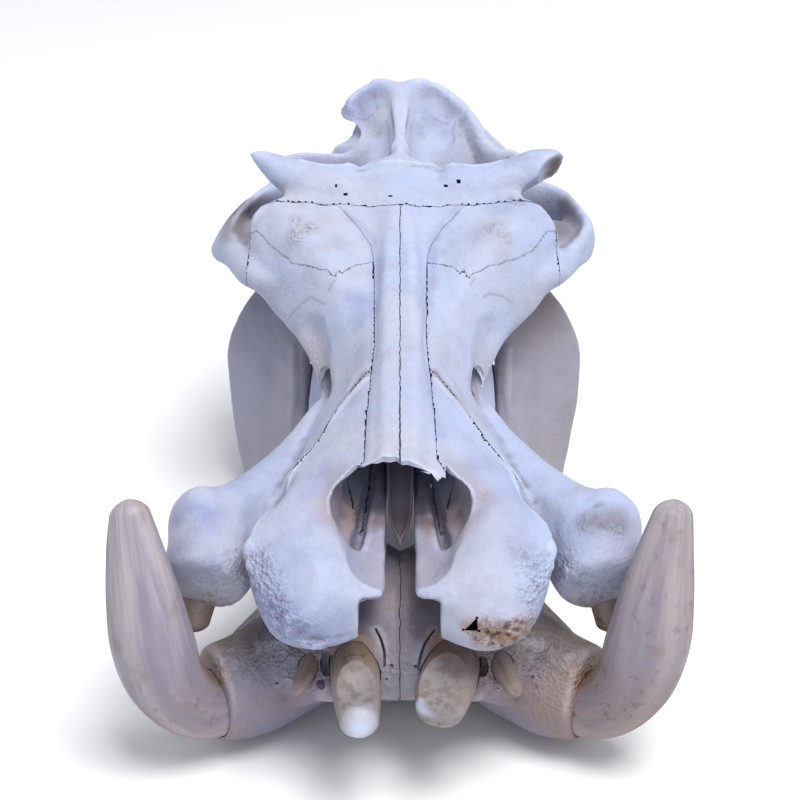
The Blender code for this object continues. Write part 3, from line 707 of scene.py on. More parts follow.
def weather(obj, rough, scale=1.0):
    """Uneven the skin: low hills, lumps and grain, and more of the small ones where it is rough."""
    points, normals = read_points(obj), read_normals(obj)
    worn = sum(amount * nearness(points, path, reach) for amount, reach, path in rough)
    height = layered(points, UNEVEN) + np.clip(worn, 0, 1) * layered(points, RUGGED)
    write_points(obj, points + normals * (scale * height)[:, None])


weather(skull, ROUGH)
print("sculpted skull spans", np.ptp(read_points(skull), axis=0).round(), "mm")

# %% [markdown]
# ## The nose's edge, cracks and small holes
#
# Thin things come last, because a melt would swallow them. The front of the nose bones is
# ragged, so a block with a ragged outline is cut away, and nerve holes are small eggs. The fine
# cracks are paths dropped onto the skin, painted later.

# %% Fine cuts
NOSE_OUTLINE = (
    (0, 103), (-3, 107), (-9, 106), (-14, 109), (-19, 108), (-24, 111), (-30, 110), (-36, 114),
    (-43, 109), (-50, 103), (-56, 95), (-58, 84), (-56, 70), (-46, 54), (-30, 36), (-16, 24),
    (0, 14), (16, 24), (30, 36), (46, 54), (56, 70), (58, 84), (56, 95), (50, 104), (42, 109),
    (38, 113), (37, 92), (35, 87), (31, 88), (26, 97), (20, 99), (12, 100), (6, 102), (2, 101),
)
NERVE_HOLES = (
    (-53, 469, 346, 1.02), (-10, 459, 347, 0.85), (58, 480, 354, 1.02), (-63, 475, 352, 0.51),
    (45, 479, 350, 0.51), (82, 415, 332, 0.85), (2, 545, 358, 0.935), (-43, 604, 348, 1.53),
    (-42, 614, 357, 1.275), (119, 130, 206, 1.105), (64, 598, 344, 0.85), (110, 480, 350, 0.51),
)
HOLE_DEPTH = 2.5
CHIP = ((51, 170), (61, 183), (62, 170))
CHIP_FROM, CHIP_TO = -14, 3
UPPER_BITE = ((30, 150, 100), (92, 470, 158.4))
NOSE_CUT = (231, 330)
ROOF_CUT = (-15, 3)
CRACKS = (
    ((-46, 632, 371), (-37, 629, 376), (-28, 627, 379)), ((-27, 646, 390), (-24, 631, 382)),
    ((32, 628, 379), (40, 630, 374), (50, 628, 366), (57, 637, 368)),
    ((59, 632, 361), (56, 623, 356), (58, 618, 351), (56, 612, 347)),
    ((71, 636, 354), (65, 624, 349)), ((51, 645, 378), (50, 634, 370)),
    ((-62, 362, 302), (-67, 357, 297)), ((70, 366, 305), (66, 360, 301)),
    ((-106, 373, 264), (-93, 367, 275), (-85, 364, 282), (-71, 351, 284)),
    ((79, 359, 287), (84, 363, 288), (97, 370, 282), (107, 374, 274)),
    ((-50, 509, 357), (-28, 515, 357), (-4, 513, 360)), ((11, 507, 358), (42, 514, 354), (58, 504, 358)),
)


EDGE_FRONT, EDGE_HALF = 86, 39
EDGE_CORNERS = ((39, 70), (-37, 70))
ROOF_TOP, ROOF_FALL, ROOF_HALF = 262, 11, 36
SIGHT_SLOPE = 1.7


def roof_edge(rise):
    """The nose bones' ragged edge, moved along the line of sight to 'rise' mm above their top.

    The top falls to each side as ROOF_FALL x (x / ROOF_HALF) squared.
    """
    edge = np.array([(x, s) for x, s in NOSE_OUTLINE if s > EDGE_FRONT and abs(x) < EDGE_HALF], float)
    edge = edge[np.argsort(edge[:, 0])]
    edge = np.concatenate([edge, EDGE_CORNERS])
    top = ROOF_TOP - ROOF_FALL * (edge[:, 0] / ROOF_HALF) ** 2
    return np.column_stack([edge[:, 0], edge[:, 1] - SIGHT_SLOPE * rise, top + rise])


def prism(outline, low, high):
    """A block over a closed outline of x, s, from height low to height high."""
    x, s = np.asarray(outline, float).T
    return tube(np.stack([np.column_stack([x, s, np.full(len(x), z)]) for z in (low, high)]))


DROP = 40


def on_top(obj, path):
    """The path with each point dropped straight down onto an object's skin."""
    starts = to_metres(np.array(path, float) + (0, 0, DROP))
    hits = [obj.ray_cast(start.tolist(), (0, 0, -1)) for start in starts]
    return [(x, s, (hit[1].z / MM if hit[0] else z)) for (x, s, z), hit in zip(path, hits)]


under_roof = tube(np.stack([roof_edge(rise) for rise in ROOF_CUT]))
holes = [egg(x, s, z, r, r, HOLE_DEPTH) for x, s, z, r in NERVE_HOLES]
holes.append(tube(np.array([[(x, s, z) for x, z in CHIP] for s in (CHIP_FROM, CHIP_TO)], float)))
cut(skull, solid("bite", both([box(*UPPER_BITE)])))
cut(skull, solid("nose_front", [prism(NOSE_OUTLINE, *NOSE_CUT)], lopsided=False))
cut(skull, solid("under_roof", [under_roof], lopsided=False))
cut(skull, solid("holes", holes, lopsided=False))
crack_lines = [on_top(skull, path) for path in CRACKS]
print("cracks to paint:", len(crack_lines))
print("skull with fine cuts:", len(skull.data.vertices), "corners")

# %% [markdown]
# ## One bone, one piece
#
# A skull grows as separate bones that meet in sutures. Each bone's share of the clay is a block
# with ragged walls. The walls are bent by the same smooth random field for both neighbours, so
# the two edges of a suture always match, as they do in life, with a thin dark gap between them.

# %% Shares of the upper skull
ZIGZAG = ((-26, 395, 308), (-54, 372, 306), (-90, 386, 311), (-125, 391, 300))
RAGGED = (
    (1.0, 22, ((-130, 458, 335), (0, 456, 345), (130, 458, 335))),
    *two(0.8, 18, ZIGZAG), (1.0, 40, ((0, 150, 129), (0, 32, 104))),
)


LEAST_BEND = 0.5
BENDS = (((1.0, 3, 7), (0.45, 5, 2.6)), ((1.0, 33, 7), (0.45, 35, 2.6)), ((0.4, 0, 7),))
BROW_DIP = (9, 60, ((0, 456, 280), (0, 456, 400)))


def bend_walls(points):
    """Shift each point by smooth random amounts, larger along the ragged sutures.

    Between the brows the walls also dip forwards, where the suture across them runs straight.
    """
    size = LEAST_BEND + sum(amount * nearness(points, path, reach) for amount, reach, path in RAGGED)
    shift = np.column_stack([layered(points, layers) for layers in BENDS])
    depth, reach, path = BROW_DIP
    dip = depth * nearness(points, path, reach)
    return points + size[:, None] * shift - dip[:, None] * (0, 1, 0)


WALL_STEP = 1.6
END_RINGS = 14
WALL_CORNERS, WALL_POINTS = 6, 120
END_WIDTHS = np.linspace(0.04, 0.96, END_RINGS)


def share(rows, side, grow=0.0, along="s"):
    """A block with fine walls: rows of station, inner, step, outer, low inside, low outside, high.

    Between the inner side and the step the block reaches lower, so its section is like an L.
    Its ends are closed by rings that shrink towards a pole, so that they can be bent as well.
    """
    rows = np.asarray(rows, float)
    count = int((rows[-1, 0] - rows[0, 0]) / WALL_STEP) + 2
    at = np.linspace(rows[0, 0], rows[-1, 0], count)
    edges = [np.pad(np.interp(at, rows[:, 0], column), END_RINGS, "edge") for column in rows[:, 1:].T]
    inner, step, outer, low_in, low_out, high = edges
    at[0] -= grow
    at[-1] += grow
    at = np.pad(at, END_RINGS, "edge")
    a = np.stack([inner - grow, step + grow, step + grow, outer + grow, outer + grow, inner - grow], 1)
    b = np.stack([low_in - grow, low_in - grow, low_out - grow, low_out - grow,
                  high + grow, high + grow], 1)
    corner = np.linspace(0, WALL_CORNERS, WALL_POINTS, endpoint=False)
    left = np.floor(corner).astype(int)
    right = (left + 1) % WALL_CORNERS
    part = corner - left
    width = np.concatenate([END_WIDTHS, np.ones(count), END_WIDTHS[::-1]])[:, None]
    a, b = (ring[:, left] * (1 - part) + ring[:, right] * part for ring in (a, b))
    middles = [(ring.min(1) + ring.max(1))[:, None] / 2 for ring in (a, b)]
    a, b = (middle + (ring - middle) * width for middle, ring in zip(middles, (a, b)))
    station = np.broadcast_to(at[:, None], a.shape)
    grid = np.stack([a, station, b] if along == "s" else [station, a, b], -1)
    verts, faces = tube(grid)
    if side == "left":
        verts, faces = mirrored((verts, faces))
    return bend_walls(verts), faces


def plain(rows):
    """Rows for a block without a step: station, inner, outer, low, high."""
    return [(at, inner, (inner + outer) / 2, outer, low, low, high)
            for at, inner, outer, low, high in rows]


# %% [markdown]
# Each bone's row of measures says where its block begins and ends, and how wide its gap is. A
# bone is taken out of the clay in turn, and what is left over at the end is the braincase.

# %% Part the upper skull
TERRITORIES = {
    "nasal": ("s", 0.08, plain((
        (60, 0.7, 60, 240, 320), (104, 0.65, 38, 240, 320), (118, 0.6, 30, 242, 330),
        (183, 0.5, 28.5, 249, 340), (233, 0.45, 25.5, 255, 340), (277, 0.4, 23, 260, 350),
        (340, 0.35, 24, 266, 360), (390, 0.3, 25, 274, 370), (416, 0.3, 29, 282, 380),
        (436, 0.3, 40, 292, 390), (449, 0.3, 54, 300, 400), (458, 0.3, 62, 305, 400)))),
    "premaxilla": ("s", 0.12, (
        (-30, 0.5, 60, 145, 100, 100, 330), (60, 0.5, 50, 134, 100, 100, 330),
        (80, 0.5, 40, 124, 100, 100, 330), (95, 0.5, 37.5, 119, 100, 102, 330),
        (125, 0.5, 33, 108, 100, 204, 330), (140, 0.5, 31, 101, 100, 206, 330),
        (165, 0.5, 28.5, 85, 100, 213, 330), (183, 0.5, 27, 71, 100, 222, 330),
        (203, 0.5, 26, 60, 100, 232, 330), (214, 0.5, 25, 52, 120, 238, 330),
        (222, 0.5, 24, 46, 244, 244, 330), (229, 0.5, 20, 40, 250, 250, 330),
        (240, 0.5, 12, 24, 262, 262, 330))),
    "cheekbone": ("s", 0.05, plain([(s, inner, 260, 230, high) for s, inner, high in (
        (402, 152, 360), (455, 147, 338), (480, 132, 322), (560, 122, 325), (628, 106, 330))])),
    "frontal": ("x", 0.05, plain([(x, front, 457, low, 400) for x, front, low in (
        (18, 397, 268), (28, 393, 268), (40, 387, 266), (50, 378, 264), (55, 370, 262),
        (59, 374, 261), (63, 365, 260), (68, 370, 260), (76, 374, 260), (92, 384, 262),
        (105, 390, 268), (125, 408, 280), (140, 428, 292), (158, 445, 300))])),
    "maxilla": ("s", 0.08, plain(((-60, 0.5, 260, 60, 420), (458, 0.5, 260, 60, 420)))),
}


def keep_largest(obj):
    """Drop loose chips: every corner takes the lowest number among its neighbours, again and again."""
    edges = np.empty(len(obj.data.edges) * 2, np.int32)
    obj.data.edges.foreach_get("vertices", edges)
    a, b = edges.reshape(-1, 2).T
    label = np.arange(len(obj.data.vertices))
    while True:
        lower = label.copy()
        np.minimum.at(lower, a, label[b])
        np.minimum.at(lower, b, label[a])
        lower = lower[lower]
        if np.array_equal(lower, label):
            break
        label = lower
    names, sizes = np.unique(label, return_counts=True)
    if len(names) > 1:
        obj.data.vertices.foreach_set("select", label != names[sizes.argmax()])
        work = bmesh.new()
        work.from_mesh(obj.data)
        chips = [vert for vert in work.verts if vert.select]
        bmesh.ops.delete(work, geom=chips, context="VERTS")
        work.to_mesh(obj.data)
        work.free()


pieces = {}
for bone, (along, gap, rows) in TERRITORIES.items():
    for side in SIDES:
        name = bone + "_" + side
        wall = share(rows, side, 0.0, along)
        wider = share(rows, side, gap, along)
        pieces[name] = cut(copy_of(skull, name), solid("share", [wall]), "INTERSECT")
        cut(skull, solid("share", [wider]))
        keep_largest(pieces[name])
        print(name, len(pieces[name].data.vertices), "corners")
keep_largest(skull)
skull.name = "braincase"
pieces["braincase"] = skull
print("braincase", len(skull.data.vertices), "corners")

# %% [markdown]
# ## Tusks and teeth
#
# A tusk grows all its life, ring after ring, so its skin has fine grooves that run lengthwise.
# Each tusk or tooth is one closed surface on a grid: angle round it and distance along it. The
# grooves are random heights that change fast round the tooth and slowly along it, and they
# only ever take material away.

# %% Tusks and front teeth
TUSK = (
    (104, 92, 56, 22, 22), (136, 68, 49, 28, 27), (170, 46, 56, 30, 29),
    (194, 32, 92, 33, 30), (203, 30, 134, 35, 30), (209, 38, 176, 30.5, 27),
    (215, 52, 214, 23, 21), (221, 68, 250, 14, 13),
)
UPPER_CANINE = ((168, 106, 160, 18, 18), (177, 94, 134, 19, 18), (182, 82, 106, 15, 14))
INCISORS = {
    "right": {
        "lower_incisor_1": ((46, 80, 102, 22, 22), (43, 40, 100, 24, 23),
                            (36, 8, 100, 24, 22), (31, -22, 101, 19, 16)),
        "lower_incisor_2": ((79, 84, 106, 8, 9), (84, 46, 102, 10, 10), (97, 12, 94, 7, 7)),
    },
    "left": {
        "lower_incisor_1": ((40, 80, 102, 20, 21), (38, 40, 100, 21, 21),
                            (35, 0, 101, 20, 19), (32, -39.8, 102, 15, 13)),
        "lower_incisor_2": ((70, 84, 106, 8, 9), (75, 46, 102, 9, 9.5), (86, 13, 94, 5.5, 6)),
    },
}


def store(obj, name, values):
    """Keep one number, or one vector, for each corner of a mesh, for its finish to read."""
    kind = "FLOAT" if values.ndim == 1 else "FLOAT_VECTOR"
    layer = obj.data.attributes.new(name, kind, "POINT")
    layer.data.foreach_set("value" if values.ndim == 1 else "vector", values.astype(np.float32).ravel())


GROOVES = ((0.5, 0, 2.4), (0.5, 20, 0.9))
ROUND, STRETCH, SIDE_SHIFT = 10, 40, 7
FLOW_LENGTH = 100


def tooth(name, side, rows, up, blunt, rings, around, groove):
    """A grooved tooth: half sizes x (1 - groove x (1 + hills round and along it) / 2).

    'flow' is kept at each corner: its angle as a circle of radius 1, and its place along.
    """
    centre, across, at, angle = limb_grid(rows, up, rings, around, blunt)
    a, b = np.meshgrid(at, angle, indexing="ij")
    lengthwise = a / STRETCH + len(side) * SIDE_SHIFT
    around_it = np.stack([np.cos(b) * ROUND, np.sin(b) * ROUND, lengthwise], -1).reshape(-1, 3)
    lines = layered(around_it, GROOVES)
    depth = 1 - groove * (1 + lines.reshape(a.shape)) / 2
    grid = centre + across * depth[..., None]
    flow = np.stack([np.cos(b), np.sin(b), a / FLOW_LENGTH], -1).reshape(-1, 3)
    flow = np.concatenate([flow, [(0, 0, at[0] / FLOW_LENGTH), (0, 0, at[-1] / FLOW_LENGTH)]])
    verts, faces = tube(grid)
    if side == "left":
        verts, faces = mirrored((verts, faces))
    piece = solid(name + "_" + side, [(verts, faces)])
    store(piece, "flow", flow)
    return piece


WORN = {"left": (-36, -4, 151, 44, 42, 42), "right": (34, -10, 152, 52, 56, 46)}
SOCKET_ROOM = 0.9


def seat(piece):
    """A copy swollen along its normals by the room in a socket, to cut the socket it stands in."""
    hole = copy_of(piece, "seat")
    write_points(hole, read_points(hole) + read_normals(hole) * SOCKET_ROOM)
    return hole


for side in SIDES:
    pieces["lower_tusk_" + side] = tooth("lower_tusk", side, TUSK, up=(0, 1, 0), blunt=(0, 12),
                                         rings=220, around=160, groove=0.022)
    pieces["upper_canine_" + side] = tooth("upper_canine", side, UPPER_CANINE, up=(0, 1, 0),
                                           blunt=(0, 9), rings=90, around=96, groove=0.06)
    for name, rows in INCISORS[side].items():
        pieces[name + "_" + side] = tooth(name, side, rows, up=(0, 0, 1), blunt=(0, 9),
                                          rings=120, around=96, groove=0.03)
    cut(pieces["maxilla_" + side], seat(pieces["upper_canine_" + side]))
seats = {name: seat(piece) for name, piece in pieces.items() if name.startswith("lower")}
for side, place in WORN.items():
    cut(pieces["lower_incisor_1_" + side], solid("worn", [egg(*place)], lopsided=False))
print("teeth in the jaw:", sorted(seats))

# %% [markdown]
# ## The keel of the nose
#
# The vomer is a long trough of thin bone that stands on edge along the middle of the nose. Seen
# from the front it is a narrow V with bright rims and a dark channel between them.

# %% Vomer
VOMER_RAILS = rails(
    (126, 134, 142, 165, 200, 240, 300),
    ((0, 166), (0, 168), (0, 171), (0, 182), (0, 192), (0, 200), (0, 206)),
    ((1.4, 168), (4.4, 172), (6, 176), (7.5, 190), (7.5, 202), (7, 210), (5, 215)),
    ((2, 172), (7.4, 178), (9.6, 184.5), (11.2, 202), (11.5, 214), (11, 222), (8, 228)),
    ((1.4, 174), (6.2, 180.5), (8.2, 187.5), (9.8, 206), (10, 218), (9, 226), (6, 232)),
    ((0.7, 173), (3.8, 176), (5.6, 182), (7, 197), (7, 209), (6, 218), (4, 226)),
    ((0, 172), (0, 174), (0, 178), (0, 189), (0, 201), (0, 211), (0, 221)),
)
vomer = fuse(solid("vomer", [skin(whole(VOMER_RAILS), rings=120, around=72)]), voxel=0.8, soften=2)
weather(vomer, (), scale=0.3)
cut(vomer, skull, "DIFFERENCE", keep_tool=True)
keep_largest(vomer)
pieces["vomer"] = vomer
print("vomer", len(vomer.data.vertices), "corners")

# %% [markdown]
# ## The lower jaw
#
# The lower jaw is a heavy spade. Its two halves meet in front, where they carry the tusks and
# the tusk-like front teeth, and each runs back to a wide branch that the chewing muscles
# covered. It is blocked out, fused and sculpted in the same way as the upper skull.

# %% Masses of the lower jaw
JAW_RAILS = (
    ((24, -12, 92), (40, -12, 112), (56, -12, 121), (110, -12, 126), (150, -12, 129),
     (178, 12, 128), (205, 26, 130), (250, 32, 134), (330, 34, 136), (420, 40, 140),
     (480, 78, 150)),
    ((24, 34, 94), (40, 46, 114), (56, 60, 121), (110, 66, 127), (150, 66, 130),
     (205, 66, 134), (250, 66, 137), (330, 68, 139), (420, 76, 142), (480, 100, 150)),
    ((24, 60, 90), (40, 84, 104), (56, 108, 108), (105, 140, 88), (150, 120, 95),
     (205, 98, 104), (250, 92, 104), (330, 92, 104), (420, 106, 108), (480, 126, 110)),
    ((24, 66, 84), (40, 96, 82), (56, 122, 76), (105, 152, 66), (150, 132, 54),
     (205, 108, 52), (250, 100, 52), (330, 98, 52), (420, 112, 56), (480, 130, 60)),
    ((24, 60, 78), (40, 80, 62), (56, 104, 44), (90, 118, 12), (120, 114, -2), (150, 104, -4),
     (205, 90, 0), (250, 84, 12), (330, 84, 22), (390, 96, 24), (430, 112, 12), (480, 126, 12)),
    ((24, 34, 80), (40, 44, 68), (56, 52, 56), (90, 60, 26), (120, 62, 4), (150, 62, -4),
     (205, 64, -1), (250, 66, 10), (330, 68, 20), (390, 80, 22), (430, 92, 12), (480, 112, 12)),
    ((24, -12, 82), (40, -12, 69), (56, -12, 57), (90, -12, 30), (120, -12, 10),
     (150, -12, 6), (178, 12, 14), (205, 28, 22), (250, 36, 28), (330, 40, 34),
     (420, 56, 34), (480, 92, 30)),
)
BRANCH_RAILS = rails(
    (-4, 20, 70, 130, 180, 225, 246),
    ((138, 440), (124, 424), (104, 408), (96, 410), (96, 430), (98, 456), (104, 474)),
    ((152, 436), (150, 434), (144, 434), (140, 438), (134, 448), (120, 464), (114, 478)),
    ((164, 450), (170, 458), (178, 470), (186, 478), (179, 484), (154, 488), (130, 494)),
    ((160, 474), (164, 492), (164, 512), (160, 520), (152, 522), (140, 524), (130, 520)),
    ((156, 494), (160, 534), (160, 574), (154, 596), (146, 604), (140, 608), (132, 604)),
    ((146, 490), (144, 530), (140, 572), (136, 598), (130, 608), (124, 612), (120, 606)),
    ((138, 466), (130, 480), (122, 500), (112, 510), (104, 516), (106, 520), (110, 524)),
)
CORONOID = (
    (112, 478, 200, 9, 30), (114, 488, 240, 8, 24), (116, 502, 275, 7, 17),
    (118, 518, 302, 5, 10), (119, 526, 312, 3, 5),
)
TUSK_SOCKET = (
    (60, 126, 72, 46, 50), (96, 102, 62, 46, 52), (130, 78, 54, 44, 49),
    (164, 58, 57, 40, 41),
)
SOCKET_SWELLINGS = {
    "right": (((46, 92, 96, 26, 28), (44, 62, 98, 30, 30), (42, 44, 99, 29, 28)),
              ((80, 84, 104, 14, 15), (84, 44, 99, 15, 15))),
    "left": (((40, 92, 96, 24, 27), (38, 62, 98, 27, 29), (37, 44, 99, 26, 27)),
             ((70, 84, 104, 14, 15), (74, 44, 99, 15, 15))),
}


def jaw_masses():
    """All the masses of the jaw, with the swellings round each side's own front teeth."""
    sided = [skin(JAW_RAILS), skin(BRANCH_RAILS, "z"), limb(CORONOID, up=(0, 1, 0)),
             egg(*JAW_CONDYLE), limb(TUSK_SOCKET, blunt=(0, 4))]
    sided += cheek_teeth(**LOWER_ROW)
    left, right = ([limb(rows, blunt=(0, 6)) for rows in SOCKET_SWELLINGS[side]] for side in SIDES)
    return both(sided) + right + [mirrored(shape) for shape in left]


jaw = fuse(solid("jaw", jaw_masses()), voxel=2.5, soften=10)
print("clay jaw:", len(jaw.data.vertices), "corners")

# %% [markdown]
# The jaw is pressed with strokes as well: a shallow field for the chewing muscle on each branch, its
# thick rear rim, and the rough seam where the halves meet in front.

# %% Strokes, floor, sockets and halves of the jaw
JAW_SIDES = (
    (-5, 44, ((168, 500, 120), (166, 520, 80))),
    (-4, 40, ((112, 470, 150), (120, 500, 110))),
    (2.5, 14, ((150, 596, 170), (156, 590, 120), (158, 566, 70), (158, 530, 30))),
    (-3, 16, ((60, 100, 128), (30, 130, 128))),
    (2.0, 10, ((120, 62, 106), (98, 54, 114))),
    (-3.0, 14, ((60, 34, 66), (84, 44, 66), (104, 56, 62))),
    (1.8, 8, ((142, 56, 96), (134, 46, 80), (130, 44, 56), (128, 58, 30))),
    (1.5, 5, ((112, 60, 112), (92, 56, 117), (70, 52, 119))),
    (-1.5, 6, ((118, 52, 104), (96, 46, 108))),
    (3.0, 8, ((112, 414, 40), (110, 414, 100), (108, 416, 150), (110, 434, 190))),
    (-3.0, 22, ((132, 432, 60), (130, 432, 110), (126, 438, 160))),
)
JAW_MARKS = (
    (-1.5, 5, ((1, 150, 129), (1, 90, 126), (1, 56, 121), (1, 32, 104))),
    (-2.5, 6, ((-66, 38, 108), (-62, 30, 98))),
)
JAW_HOLES = ((-7, 33, 107, 1.8), (-17, 31, 103, 1.8), (13, 33, 107, 1.6), (-11, 29, 98, 1.2),
             (112, 46, 84, 1.8), (-104, 44, 80, 1.6), (132, 70, 30, 2.2), (-128, 70, 30, 2.2))
JAW_GAPS = (
    ((-21, 60, 124), (-16, 50, 121), (-13, 40, 115), (-13, 32, 108)),
    ((30, 60, 124), (22, 49, 120), (17, 38, 113), (15, 30, 106)),
)
JAW_PITS = ((-61, 38, 106, 6, 10, 11), (68, 38, 103, 6, 9, 10), (-66, 28, 92, 4, 8, 4))
PIT_DEPTH = 5
GAP_WIDTH, GAP_DEPTH = 1.3, 5
BELOW_FLOOR = ((-300, -100, -60), (300, 700, 0))
LOWER_BITE = ((30, 150, 157.6), (92, 452, 220))
JAW_HALF = ((-60, 0.35, 260, -20, 420), (700, 0.35, 260, -20, 420))


def slit(path):
    """A thin slit along a path, to be cut out."""
    return limb([(x, s, z, GAP_WIDTH, GAP_DEPTH) for x, s, z in path], rings=24, around=8)


JAW_ROUGH = (
    *two(0.9, 44, ((126, 60, 100), (100, 50, 105), (80, 40, 96))),
    (0.5, 30, ((0, 60, 118), (0, 34, 104))),
)
press(jaw, on_both_sides(JAW_SIDES) + JAW_MARKS)
weather(jaw, JAW_ROUGH)
print("strokes on the jaw:", 2 * len(JAW_SIDES) + len(JAW_MARKS))

# %% [markdown]
# The jaw is cut flat where it stands on the table and where its teeth meet the upper ones. Then
# each tusk and tooth, swollen by the room in its socket, cuts its own socket, and last the jaw
# is parted into its two halves.

# %% Cut the floor, the sockets and the halves
pits = [egg(x, s, z, r, PIT_DEPTH, r) for x, s, z, r in JAW_HOLES] + [egg(*place) for place in JAW_PITS]
cut(jaw, solid("floor", [box(*BELOW_FLOOR)]))
cut(jaw, solid("bite", both([box(*LOWER_BITE)])))
cut(jaw, solid("jaw_pits", pits, lopsided=False))
cut(jaw, solid("jaw_gaps", [slit(path) for path in JAW_GAPS], lopsided=False))
for name in sorted(seats):
    cut(jaw, seats[name])
for side in SIDES:
    name = "mandible_" + side
    half = share(plain(JAW_HALF), side)
    pieces[name] = cut(copy_of(jaw, name), solid("share", [half]), "INTERSECT")
    keep_largest(pieces[name])
    print(name, len(pieces[name].data.vertices), "corners")
bpy.data.objects.remove(jaw)

# %% [markdown]
# ## Marks that the finish follows
#
# Old bone isn't one colour. It is brown where it held blood and soil, dark in its seams, and
# lavender grey where it is rough. Some marks are painted light and shade: shade in hollows and
# crevices, on walls that face inwards and on the jaw's front, a bluish shade on the left side, and
# light along the muzzle's lit edge and on the jaw's branches. Each kind of mark is a number on
# every corner of every piece, worked out from paths in space, so a mark runs on across a seam.
# Two more marks are measured. For a seam, all pieces are gathered into one crowd, and geometry
# nodes give each corner its distance to the nearest piece that isn't its own. For a crevice, each
# corner is compared with the mean of its neighbours.

# %% Marks on every corner
MIDLINE = ((0, 458, 338), (0, 380, 312), (0, 250, 285), (0, 108, 261))
JAW_SEAM = ((0, 150, 129), (0, 90, 127), (0, 56, 120), (0, 30, 102), (0, 40, 70))
TUSK_OUTSIDE = ((236, 34, 170), (236, 30, 130), (226, 26, 90), (200, 30, 60), (166, 40, 32))
TUSK_INSIDE = ((172, 36, 120), (160, 40, 96), (144, 52, 76), (134, 60, 50), (134, 66, 28))
OPEN_SEAMS = ((0.9, 8, MIDLINE), (0.5, 7, NASAL_EDGE["left"]), (0.5, 7, NASAL_EDGE["right"]),
              (1.0, 8, ((-32, 224, 272), (-52, 206, 256))), (0.9, 9, JAW_SEAM))

